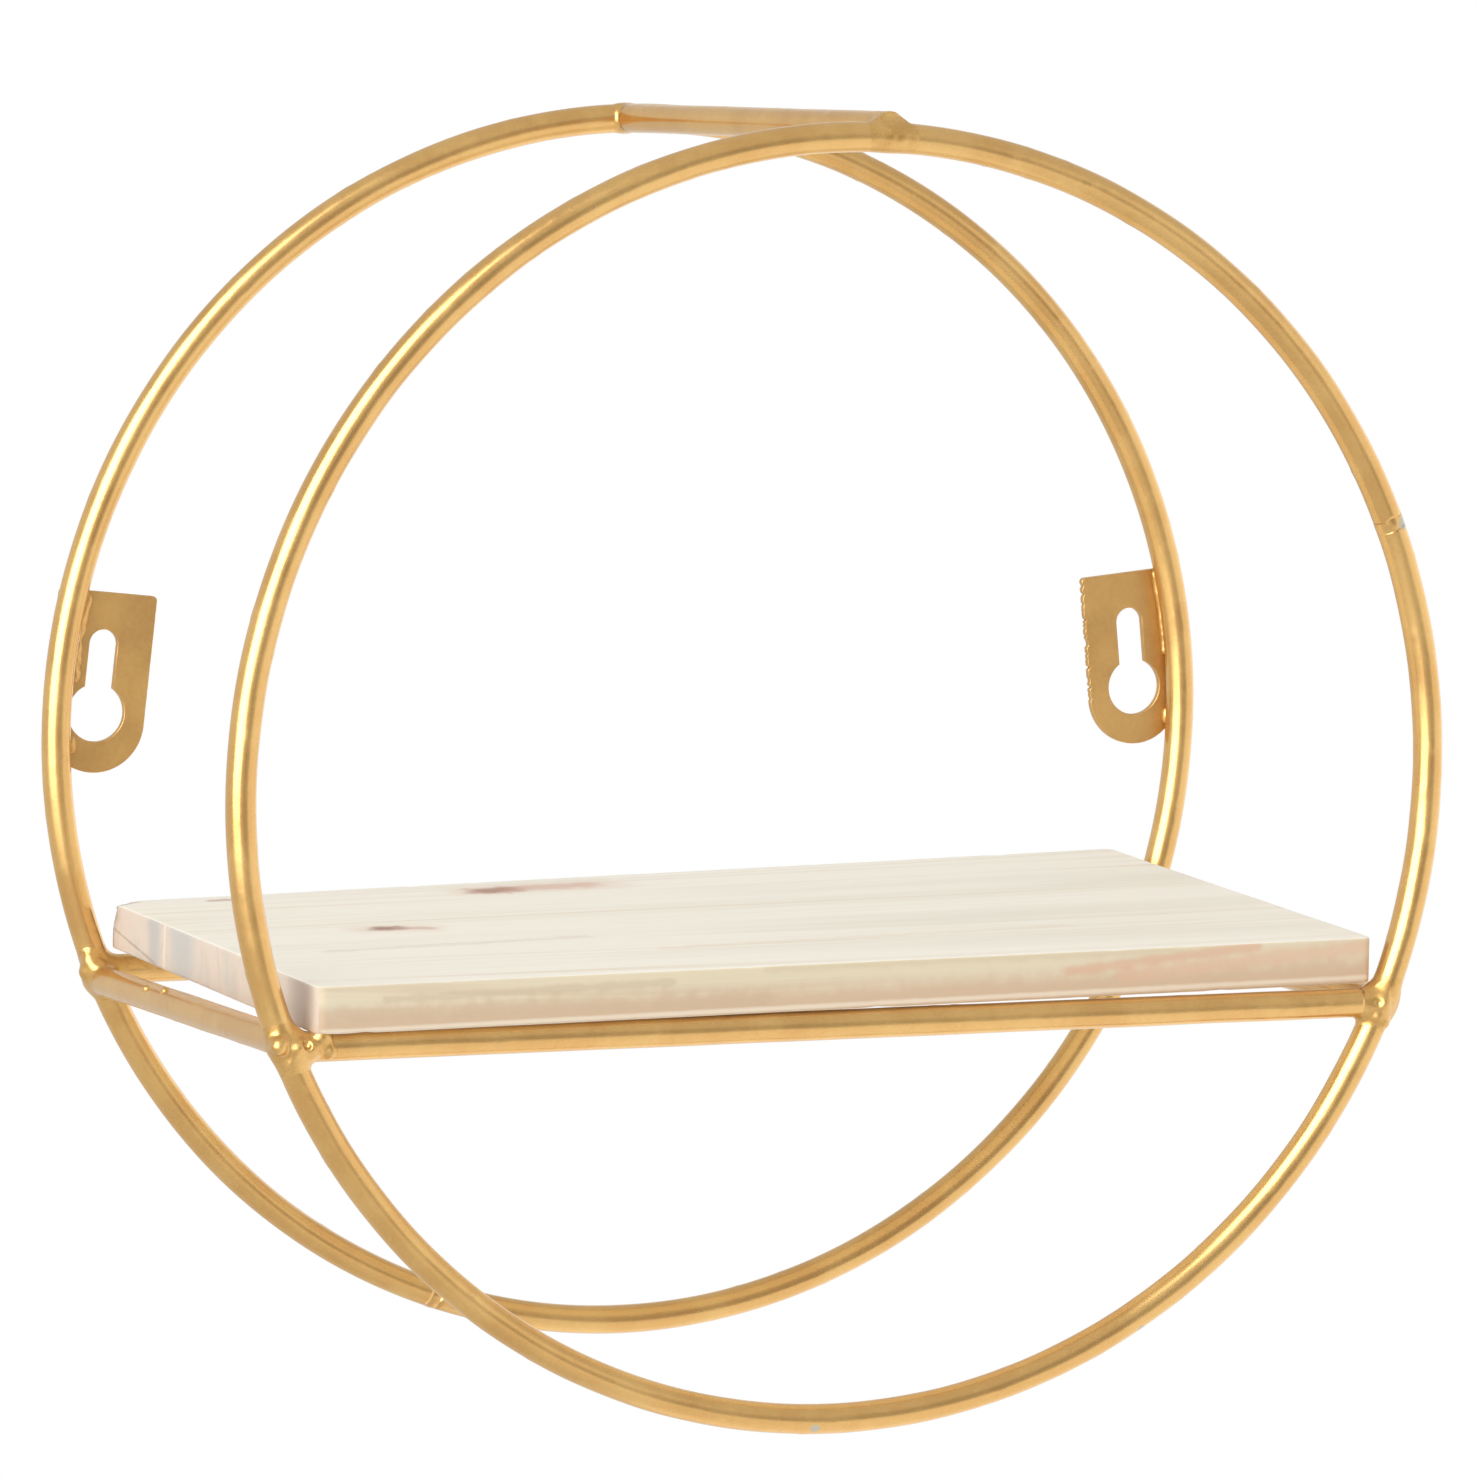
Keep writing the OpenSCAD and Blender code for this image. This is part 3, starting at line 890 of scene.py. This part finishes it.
for node, y, seam in (("front_ring_seam", FRONT_Y, FRONT_SEAM), ("back_ring_seam", BACK_Y, BACK_SEAM)):
    print(node, len(make_seam(node, y, seam).data.vertices), "points")

# %% [markdown]
# ## The hanging tabs
# Each tab is sheared from sheet steel, and its keyhole is punched. The outline is worked out
# from the tab's width, its keyhole and the radius of its round foot. Shearing leaves a rough,
# nibbled edge on the tab's inner side, so that stretch of the outline is uneven. A flat
# curve with a small bevel turns the two outlines into a sheet with softened edges.

# %% Tab outlines
TAB_T = 1.5 * MM
TAB_W = 21 * MM
TAB_TOP = 17.3 * MM
TAB_BOTTOM = 20 * MM
TAB_CORNER_R = 1 * MM
TAB_TILT = math.radians(6)
ENTRY_R = 6 * MM
SLOT_R = 3 * MM
SEAT_RISE = 14.2 * MM
ENTRY_LOW = 7.6 * MM
KEYHOLE_GAP = 0.7 * MM
HOLE_U = RING_R - WIRE_R - KEYHOLE_GAP - ENTRY_R
EDGE_BEVEL = 0.16 * MM


def arc(centre, radius, start, end, steps):
    return [(centre[0] + radius * math.cos(math.radians(start + (end - start) * i / steps)),
             centre[1] + radius * math.sin(math.radians(start + (end - start) * i / steps)))
            for i in range(steps + 1)]


def tab_outline(nibbled):
    """Round the tab from its round foot, in the tab's own plane: u outwards, v up."""
    foot = (HOLE_U, TAB_W / 2 - TAB_BOTTOM)
    inner, outer = HOLE_U - TAB_W / 2, HOLE_U + TAB_W / 2
    top = TAB_TOP - TAB_CORNER_R
    points = arc(foot, TAB_W / 2, 180, 360, 56)
    points += arc((outer - TAB_CORNER_R, top), TAB_CORNER_R, 0, 90, 8)
    points += arc((inner + TAB_CORNER_R, top), TAB_CORNER_R, 90, 180, 8)
    nibble = random.Random(21)
    steps = 60
    for i in range(1, steps):
        v = top + (foot[1] - top) * i / steps
        points.append((inner + max(0.0, nibble.gauss(0, nibbled)), v))
    return points


def keyhole_outline():
    seat = (HOLE_U, -ENTRY_LOW + SEAT_RISE)
    side = math.degrees(math.asin(SLOT_R / ENTRY_R))
    points = arc((HOLE_U, -ENTRY_LOW), ENTRY_R, 90 + side, 450 - side, 72)
    return points + arc(seat, SLOT_R, 0, 180, 32)


def make_tab(node, side, nibbled):
    curve = bpy.data.curves.new(node, "CURVE")
    curve.dimensions = "2D"
    curve.fill_mode = "BOTH"
    curve.extrude = TAB_T / 2 - EDGE_BEVEL
    curve.bevel_depth = EDGE_BEVEL
    curve.bevel_resolution = 2
    curve.offset = -EDGE_BEVEL
    for outline in (tab_outline(nibbled), keyhole_outline()):
        spline = curve.splines.new("POLY")
        spline.points.add(len(outline) - 1)
        for point, (u, v) in zip(spline.points, outline):
            point.co = (side * u, v, 0, 1)
        spline.use_cyclic_u = True
    pattern = bpy.data.objects.new(node + "_pattern", curve)
    bpy.context.scene.collection.objects.link(pattern)
    pattern.matrix_world = (Matrix.Translation((0, -TAB_T / 2, CENTRE_Z))
                            @ Matrix.Rotation(-side * TAB_TILT, 4, "Y")
                            @ Matrix.Rotation(math.pi / 2, 4, "X"))
    bpy.context.view_layer.update()
    mesh = bpy.data.meshes.new_from_object(pattern.evaluated_get(bpy.context.evaluated_depsgraph_get()))
    mesh.transform(pattern.matrix_world)
    bpy.data.objects.remove(pattern)
    tab = bpy.data.objects.new(node + "_sheet", mesh)
    bpy.context.scene.collection.objects.link(tab)
    mesh.materials.clear()
    mesh.materials.append(TAB_GOLD)
    mesh.polygons.foreach_set("use_smooth", [True] * len(mesh.polygons))
    mesh.set_sharp_from_angle(angle=math.radians(50))
    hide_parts(node)
    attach(tab, "frame")
    return tab


for node, side, nibbled in (("right_tab", 1, 0.28 * MM), ("left_tab", -1, 0.02 * MM)):
    print(node, len(make_tab(node, side, nibbled).data.vertices), "points")

# %% [markdown]
# The tabs are joined to the back ring by short beads in the corner between sheet and wire,
# left out beside the entry hole so that a screw head passes. The bead is a chain of drops of
# uneven size, melted together in the same way as the joints. The left one is lumpy and
# stands out past the wire, and the right one ran smooth.

# %% Tab beads
BEAD_R = 1.0 * MM
BEAD_STEP = 0.2 * MM
BEAD_SOFT = 0.9 * MM
BEAD_LINE = RING_R - WIRE_R + 0.35 * WIRE_R


def bead_runs():
    """The stretches of the ring, as angles, that carry a bead beside the right tab."""
    hole_turn = math.asin(-ENTRY_LOW / HOLE_U)
    hole_half = math.asin((ENTRY_R + BEAD_R) / HOLE_U)
    foot_turn = math.asin((TAB_W / 3 - TAB_BOTTOM) / HOLE_U)
    head_turn = math.asin((TAB_TOP - 2 * BEAD_R) / HOLE_U)
    return [(foot_turn, hole_turn - hole_half), (hole_turn + hole_half, head_turn)]


def bead_net(side, start, end, drops, bead_at, uneven, seed):
    count = max(3, round((end - start) * bead_at / (1.1 * BEAD_R)))
    balls = []
    for i in range(count + 1):
        angle = TAB_TILT + start + (end - start) * i / count
        reach = bead_at + drops.uniform(-0.5, 0.5) * uneven
        y = -TAB_T - 0.6 * BEAD_R + drops.uniform(-0.3, 0.3) * uneven
        centre = Vector((side * reach * math.cos(angle), y, CENTRE_Z + reach * math.sin(angle)))
        balls.append((centre, BEAD_R + drops.uniform(-0.4, 0.6) * uneven))
    centres = np.array([centre for centre, _ in balls])
    low = centres.min(axis=0) - 2.2 * BEAD_R
    points = field_points(low, centres.max(axis=0) + 2.2 * BEAD_R, BEAD_STEP)
    field, *others = [distance(points, centre) - radius for centre, radius in balls]
    for other in others:
        field = melt(field, other, BEAD_SOFT)
    return surface_net(field - 0.08 * MM * ripple(points, 1.6 * MM, seed), low, BEAD_STEP)


def make_tab_beads(node, side, seed, bead_at, uneven):
    drops = random.Random(seed)
    beads = weld_piece(node + "_bead", [bead_net(side, *run, drops, bead_at, uneven, seed)
                                        for run in bead_runs()])
    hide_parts(node)
    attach(beads, "frame")
    return beads


for node, side, seed, inwards, uneven in (("right_tab_welds", 1, 31, 0.0, 0.10 * MM),
                                          ("left_tab_welds", -1, 37, 1.7 * MM, 0.70 * MM)):
    beads = make_tab_beads(node, side, seed, BEAD_LINE - inwards, uneven)
    print(node, len(beads.data.vertices), "points")

# %% [markdown]
# ## The pine board
# The board is a plain plank, planed on its faces and sawn at its ends. A plain box would do
# for its outline, but its edges catch the light because they were sanded: a little along the
# faces and more at the four upright corners. The mesh is a box of quads, finer at its
# borders, whose outer points are pulled onto the rounded edges.

# %% Board mesh
BOARD_T = 9.4 * MM
BOARD_END_GAP = 1.2 * MM
BOARD_SETBACK = 1.0 * MM
BOARD_EASE = 0.6 * MM
BOARD_CORNER_R = 2.2 * MM
BOARD_CELL = 2.0 * MM
BOARD_CELL_UP = 1.5 * MM
BOARD_HALF_CHORD = math.sqrt((RING_R - WIRE_R) ** 2 - (CENTRE_Z - RAIL_Z - WIRE_R) ** 2)
BOARD_W = 2 * (BOARD_HALF_CHORD - BOARD_END_GAP)
BOARD_D = (BACK_Y - FRONT_Y) + 2 * WIRE_R - 2 * BOARD_SETBACK
HALF = np.array([BOARD_W, BOARD_D, BOARD_T]) / 2


def stations(half, cell, edge):
    """Cell borders along one side of the board, closer together near its two ends."""
    border = [edge * share for share in (0, 0.07, 0.16, 0.27, 0.42, 0.6, 0.8, 1.0)]
    count = max(2, round(2 * (half - edge) / cell))
    inner = [edge + 2 * (half - edge) * i / count for i in range(1, count)]
    return [place - half for place in border + inner + [2 * half - place for place in reversed(border)]]


def board_grid():
    """The box's points and quads, with what each quad lies on: a face, a long edge or an end."""
    sides = [stations(HALF[0], BOARD_CELL, BOARD_CORNER_R), stations(HALF[1], BOARD_CELL, BOARD_CORNER_R),
             stations(HALF[2], BOARD_CELL_UP, BOARD_EASE)]
    index, faces, looks = {}, [], []
    for axis, look in ((2, 0), (1, 1), (0, 2)):
        u, v = [other for other in range(3) if other != axis]
        ends = (0, len(sides[axis]) - 1)
        for end, i, j in itertools.product(ends, range(len(sides[u]) - 1), range(len(sides[v]) - 1)):
            quad = []
            for a, b in ((i, j), (i + 1, j), (i + 1, j + 1), (i, j + 1)):
                key = [end] * 3
                key[u], key[v] = a, b
                quad.append(index.setdefault(tuple(key), len(index)))
            faces.append(quad[::-1] if (end == 0) == (axis != 1) else quad)
            looks.append(look)
    return np.array([[side[k] for side, k in zip(sides, key)] for key in index]), faces, looks


print("board", round(BOARD_W / MM, 2), "x", round(BOARD_D / MM, 1), "x", BOARD_T / MM, "mm")

# %% [markdown]
# Sanding takes off the corners. A point near an upright corner, or near the edge of a face,
# moves onto the circle that the sandpaper leaves there. The direction that it faces is kept,
# because dents and planing marks are pressed in along it.

# %% Sanded edges
def onto_circle(first, second):
    """The share by which a point of a square shrinks to lie on the circle inside it."""
    reach = np.hypot(first, second)
    return np.where(reach > 0, np.maximum(first, second) / np.where(reach > 0, reach, 1), 1)


def to_length_one(vectors):
    return vectors / np.maximum(np.linalg.norm(vectors, axis=1, keepdims=True), 1e-9)


def sand_edges(verts):
    """Rounds the upright corners, then the edges round both faces. Gives points and normals."""
    plan, side = np.abs(verts[:, :2]), np.sign(verts[:, :2])
    inset = np.min(HALF[:2] - plan, axis=1)
    corner = np.clip(plan - (HALF[:2] - BOARD_CORNER_R), 0, None)
    plan = plan - corner * (1 - onto_circle(corner[:, 0], corner[:, 1])[:, None])
    on_side = plan >= (HALF[:2] - inset[:, None] - 1e-9)
    outward = to_length_one(np.where((corner.min(axis=1) > 0)[:, None], corner, on_side))
    across = np.clip(BOARD_EASE - inset, 0, None)
    above = np.clip(np.abs(verts[:, 2]) - (HALF[2] - BOARD_EASE), 0, None)
    shrink = onto_circle(across, above)
    plan = plan - outward * (across * (1 - shrink))[:, None]
    height = np.abs(verts[:, 2]) - above * (1 - shrink)
    normals = np.column_stack([outward * side * across[:, None], np.sign(verts[:, 2]) * above])
    return np.column_stack([plan * side, height * np.sign(verts[:, 2])]), to_length_one(normals)


print("corners of", BOARD_CORNER_R / MM, "mm, edges of", BOARD_EASE / MM, "mm")

# %% [markdown]
# The last marks are those of drying and handling. The board has twisted a little, so each
# corner stands at its own height. Its faces still wave faintly from the plane, small knocks
# lie along its long edges, and its back left corner was bruised.

# %% Dents and wind
# how far each corner has moved up: front left, front right, back left, back right
WIND = (-0.55 * MM, -1.35 * MM, 0, 1.70 * MM)
PLANE_WAVE = 0.05 * MM
PLANE_PITCH = 26 * MM
KNOCKS = 26
BRUISE_WIDE = 3.2 * MM
BRUISE_DEEP = 1.5 * MM


def dent(verts, normals, centre, wide, deep):
    apart = distance(verts, centre)
    return verts - normals * (deep * np.exp(-(apart / wide) ** 2))[:, None]


def wind(verts):
    x, y = verts[:, 0] / BOARD_W + 0.5, verts[:, 1] / BOARD_D + 0.5
    rise = (WIND[0] * (1 - x) + WIND[1] * x) * (1 - y) + (WIND[2] * (1 - x) + WIND[3] * x) * y
    return verts + np.outer(rise, (0, 0, 1))


def board_shape():
    verts, faces, looks = board_grid()
    verts, normals = sand_edges(verts)
    verts = verts + normals * (PLANE_WAVE * ripple(verts, PLANE_PITCH, 51))[:, None]
    knocks = random.Random(57)
    for _ in range(KNOCKS):
        centre = (knocks.uniform(-1, 1) * HALF[0], knocks.choice((-1, 1)) * HALF[1],
                  knocks.choice((-1, 1)) * HALF[2])
        wide, deep = knocks.uniform(0.8, 2.0) * MM, knocks.uniform(0.05, 0.25) * MM
        verts = dent(verts, normals, centre, wide, deep)
    bruise = (-HALF[0], HALF[1], HALF[2])
    return wind(dent(verts, normals, bruise, BRUISE_WIDE, BRUISE_DEEP)), faces, looks


BOARD_VERTS, BOARD_FACES, BOARD_LOOKS = board_shape()
print("board mesh", len(BOARD_VERTS), "points")

# %% [markdown]
# Pine shows three different faces. Planed faces carry long, faint lines where the saw cut
# along the year rings, the edges are a little warmer, and the sawn ends show the rings
# themselves as bands. All three need the same rings, so they are one group. The ring pattern
# is worked out in the board's own space, stretched along its length, so that a line on the
# face runs on over the edge.

# %% The pine grain group
def pine_grain():
    group, given, result = new_group(
        "pine_grain",
        [("Pale", "NodeSocketColor", (1, 1, 1, 1)), ("Warm", "NodeSocketColor", (0.8, 0.7, 0.6, 1)),
         ("Grey", "NodeSocketColor", (0.7, 0.7, 0.7, 1)), ("Ring scale", "NodeSocketFloat", 150.0),
         ("Contrast", "NodeSocketFloat", 0.5)],
        [("Color", "NodeSocketColor"), ("Height", "NodeSocketFloat")])
    place = add(group, "ShaderNodeTexCoord").outputs["Object"]
    values = {"Vector": place, "Scale": (0.07, 1.0, 1.0)}
    stretched = add(group, "ShaderNodeMapping", values).outputs[0]

    def noise(scale, detail):
        values = {"Vector": stretched, "Scale": scale, "Detail": detail, "Roughness": 0.6}
        return add(group, "ShaderNodeTexNoise", values).outputs[0]

    sway, fibres, clouds, fade = noise(28.0, 2.0), noise(420.0, 3.0), noise(45.0, 3.0), noise(90.0, 1.0)
    parts = add(group, "ShaderNodeSeparateXYZ", {0: stretched}).outputs
    across = math_node(group, "MULTIPLY_ADD", parts[2], 0.55, parts[1])
    shifted = math_node(group, "MULTIPLY_ADD", sway, 0.030, across)
    values = {"W": math_node(group, "MULTIPLY", shifted, given["Ring scale"]), "Scale": 1.0,
              "Detail": 3.0, "Roughness": 0.65}
    lines = add(group, "ShaderNodeTexNoise", values, noise_dimensions="1D").outputs[0]
    late = math_node(group, "MULTIPLY", smooth_between(group, lines, 0.46, 0.76),
                     smooth_between(group, fade, 0.35, 0.62))
    colour = given["Pale"]
    for share, tone in ((late, "Warm"), (smooth_between(group, clouds, 0.46, 0.74), "Grey")):
        strength = math_node(group, "MULTIPLY", share, given["Contrast"])
        colour = mix_colours(group, strength, colour, given[tone])
    fine = smooth_between(group, fibres, 0.50, 0.80, 1.0, 0.95)
    shade = add(group, "ShaderNodeCombineColor", {0: fine, 1: fine, 2: fine}).outputs[0]
    plug(group, result["Color"], mix_colours(group, 1.0, colour, shade, "MULTIPLY"))
    faint = math_node(group, "MULTIPLY", late, 0.3)
    plug(group, result["Height"], math_node(group, "MULTIPLY_ADD", fibres, 0.7, faint))
    return group


GRAIN = pine_grain()
print("group", GRAIN.name)

# %% [markdown]
# Knots, the crack in the sawn end, its grey bands, the slanting grain of the front edge and
# the painted shade at the board's back left corner are all streaks: soft marks along a short
# line. One group gives the mask of such a streak from its two ends and its width, and each
# mark on the board places it once.

# %% The streak group
def streak_mask():
    group, given, result = new_group(
        "streak_mask",
        [("From", "NodeSocketVector", (0, 0, 0)), ("To", "NodeSocketVector", (0.01, 0, 0)),
         ("Width", "NodeSocketFloat", 0.002), ("Ragged", "NodeSocketFloat", 0.5)],
        [("Mask", "NodeSocketFloat")])
    place = add(group, "ShaderNodeTexCoord").outputs["Object"]

    def vector(operation, first, second):
        return add(group, "ShaderNodeVectorMath", {0: first, 1: second}, operation=operation).outputs

    span = vector("SUBTRACT", given["To"], given["From"])["Vector"]
    off = vector("SUBTRACT", place, given["From"])["Vector"]
    share = math_node(group, "DIVIDE", vector("DOT_PRODUCT", off, span)["Value"],
                      vector("DOT_PRODUCT", span, span)["Value"])
    share.node.use_clamp = True
    nearest = add(group, "ShaderNodeVectorMath", {0: span, "Scale": share}, operation="SCALE")
    apart = vector("DISTANCE", off, nearest.outputs["Vector"])["Value"]
    noise = add(group, "ShaderNodeTexNoise", {"Vector": place, "Scale": 300.0, "Detail": 3.0})
    uneven = math_node(group, "SUBTRACT", noise.outputs[0], 0.5)
    wobble = math_node(group, "MULTIPLY", uneven, given["Ragged"])
    edge = math_node(group, "ADD", math_node(group, "DIVIDE", apart, given["Width"]), wobble)
    plug(group, result["Mask"], smooth_between(group, edge, 1.30, 0.20))
    return group


STREAK = streak_mask()
print("group", STREAK.name)

# %% [markdown]
# The marks are listed in millimetres from the board's middle, as they lie on it in the
# photograph: a knot near the back edge with a long pinkish tail, a small knot near the left
# end, and on the sawn end two grey bands with a crack beside them.

# %% The board's marks
TOP, FRONT, LEFT = HALF[2] / MM, -HALF[1] / MM, -HALF[0] / MM
# each mark: from, to, width, raggedness, colour, strength
FACE_MARKS = [
    ((-38, 49.0, TOP), (-10, 50.0, TOP), 7.6, 0.7, screen(229, 210, 192), 0.60),
    ((-36.5, 49.0, TOP), (-31.0, 49.0, TOP), 4.6, 1.0, screen(172, 130, 112), 0.90),
    ((-27, 49.5, TOP), (-13, 50.0, TOP), 4.2, 1.0, screen(210, 172, 152), 0.65),
    ((-78, 7.6, TOP), (-67, 5.6, TOP), 5.6, 0.8, screen(226, 208, 190), 0.55),
    ((-74.8, 7.4, TOP), (-72.0, 7.2, TOP), 3.2, 1.0, screen(158, 118, 102), 0.95),
    ((-71.5, 7.0, TOP), (-65.8, 4.9, TOP), 1.9, 1.2, screen(206, 170, 150), 0.65),
    ((-94, 55.0, TOP), (-91.0, 55.0, TOP), 1.8, 1.0, screen(190, 158, 140), 0.7),
    ((-96, -18, TOP), (-40, -15, TOP), 2.0, 1.6, screen(216, 204, 184), 0.45),
    ((-30, -34, TOP), (60, -30, TOP), 2.4, 1.6, screen(222, 208, 186), 0.40),
    # painted shade: grey at the back left corner of the top, where the ring's wire passes close to the
    # board
    ((LEFT, 60, TOP), (LEFT + 3, 60, TOP), 3.4, 0.8, screen(176, 168, 158), 0.75),
]
EDGE_MARKS = [
    # darker towards the bottom of the front edge, along its whole length
    ((LEFT, FRONT, -4.6), (-LEFT, FRONT, -4.2), 4.4, 0.7, screen(206, 176, 146), 0.85),
    ((LEFT, FRONT, -1.6), (-20, FRONT, -2.6), 2.0, 1.4, screen(202, 176, 146), 0.60),
    ((46, FRONT, -0.4), (88, FRONT, 2.8), 1.3, 1.0, screen(216, 168, 138), 0.60),
    ((58, FRONT, -2.0), (112, FRONT, 1.6), 1.9, 1.0, screen(220, 178, 148), 0.55),
    ((-100, FRONT, 1.0), (-40, FRONT, 1.6), 1.0, 1.6, screen(198, 178, 148), 0.50),
    ((-20, FRONT, 3.4), (70, FRONT, 3.0), 1.2, 1.6, screen(208, 188, 156), 0.40),
    # a paler line along the bottom arris of the front edge
    ((LEFT, FRONT, -4.7), (-LEFT, FRONT, -4.7), 0.6, 0.6, screen(236, 222, 200), 0.7),
]
END_MARKS = [
    ((LEFT, 33.2, -5), (LEFT, 33.2, 5), 4.4, 0.5, screen(188, 186, 182), 0.75),
    ((LEFT, 16.4, -5), (LEFT, 16.4, 5), 8.6, 0.5, screen(190, 190, 186), 0.75),
    ((LEFT, 27.3, -5), (LEFT, 26.6, 5), 0.6, 0.8, screen(240, 226, 208), 0.8),
    ((LEFT, -51.5, -5), (LEFT, -51.5, 5), 7.0, 0.5, screen(186, 172, 162), 0.75),
    ((LEFT, -6.5, -5), (LEFT, -4.0, 5), 0.7, 1.0, screen(214, 194, 176), 0.7),
    ((LEFT, 58.5, -0.4), (LEFT, 32.5, -4.2), 0.34, 1.9, screen(168, 142, 122), 0.6),
    # painted shade: the dark band along the back edge of the sawn end and the grey at its top back corner,
    # where the ring's wire passes close to the board
    ((LEFT, 59.6, -5), (LEFT, 59.6, 4), 1.6, 0.8, screen(140, 120, 110), 0.85),
    ((LEFT, 58.2, 3.0), (LEFT, 60.0, 5), 2.2, 1.0, screen(160, 152, 144), 0.80),
]
print("marks", len(FACE_MARKS) + len(EDGE_MARKS) + len(END_MARKS))

# %% [markdown]
# The three pine materials differ in colour, in how close the rings lie and in their marks.
# The face colour is paler and the edge colour darker partly as painted light and shade: the
# brightness that the top has from facing the light is carried in these colours, besides the
# edges' own warmer tone. Planed wood without varnish is rough, so there is hardly any gloss.

# %% Pine materials
WOOD_ROUGHNESS = 0.62
WOOD_SPECULAR = 0.35


def pine(name, pale, warm, grey, rings, contrast, bump, marks):
    material, tree, shader = new_material(name)
    values = {"Pale": pale, "Warm": warm, "Grey": grey, "Ring scale": rings, "Contrast": contrast}
    grain = add(tree, "ShaderNodeGroup", values, node_tree=GRAIN).outputs
    colour = grain["Color"]
    for start, end, width, ragged, shade, strength in marks:
        values = {"From": Vector(start) * MM, "To": Vector(end) * MM, "Width": width * MM, "Ragged": ragged}
        streak = add(tree, "ShaderNodeGroup", values, node_tree=STREAK).outputs["Mask"]
        colour = mix_colours(tree, math_node(tree, "MULTIPLY", streak, strength), colour, shade)
    plug(tree, shader["Base Color"], colour)
    shader["Roughness"].default_value = WOOD_ROUGHNESS
    shader["Specular IOR Level"].default_value = WOOD_SPECULAR
    bumpy(tree, shader, grain["Height"], 0.5, bump)
    return material


# painted light and shade: the face colour is paler and the edge colour darker partly for how the light
# falls on the top and the front
PINE_FACE = pine("pine_face", screen(240, 235, 222), screen(226, 211, 188), screen(228, 222, 207),
                 240.0, 0.85, 0.05 * MM, FACE_MARKS)
PINE_EDGE = pine("pine_edge", screen(222, 208, 180), screen(206, 182, 150), screen(200, 190, 162),
                 240.0, 0.85, 0.07 * MM, EDGE_MARKS)
PINE_END = pine("pine_end", screen(222, 206, 190), screen(208, 186, 166), screen(196, 196, 188),
                95.0, 0.80, 0.12 * MM, END_MARKS)
print("pine:", PINE_FACE.name, PINE_EDGE.name, PINE_END.name)

# %% [markdown]
# The board lies loose, so it isn't quite square to the rails: it is turned a little, and its
# right end and its back are a little higher. The middle of the frame's own board gives the
# place.

# %% Put the board on its rails
BOARD_LEAN = math.radians(0.45)
BOARD_PITCH = math.radians(0.6)
BOARD_TURN = math.radians(1.2)
board = add_piece("pine_plank", BOARD_VERTS, BOARD_FACES, [PINE_FACE, PINE_EDGE, PINE_END])
board.data.polygons.foreach_set("material_index", BOARD_LOOKS)
board.matrix_world = (Matrix.Translation(middle_of("shelf_board"))
                      @ Matrix.Rotation(BOARD_TURN, 4, "Z")
                      @ Matrix.Rotation(-BOARD_LEAN, 4, "Y")
                      @ Matrix.Rotation(BOARD_PITCH, 4, "X"))
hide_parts("shelf_board")
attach(board, "board")
print("board middle", [round(c, 4) for c in middle_of("shelf_board")])
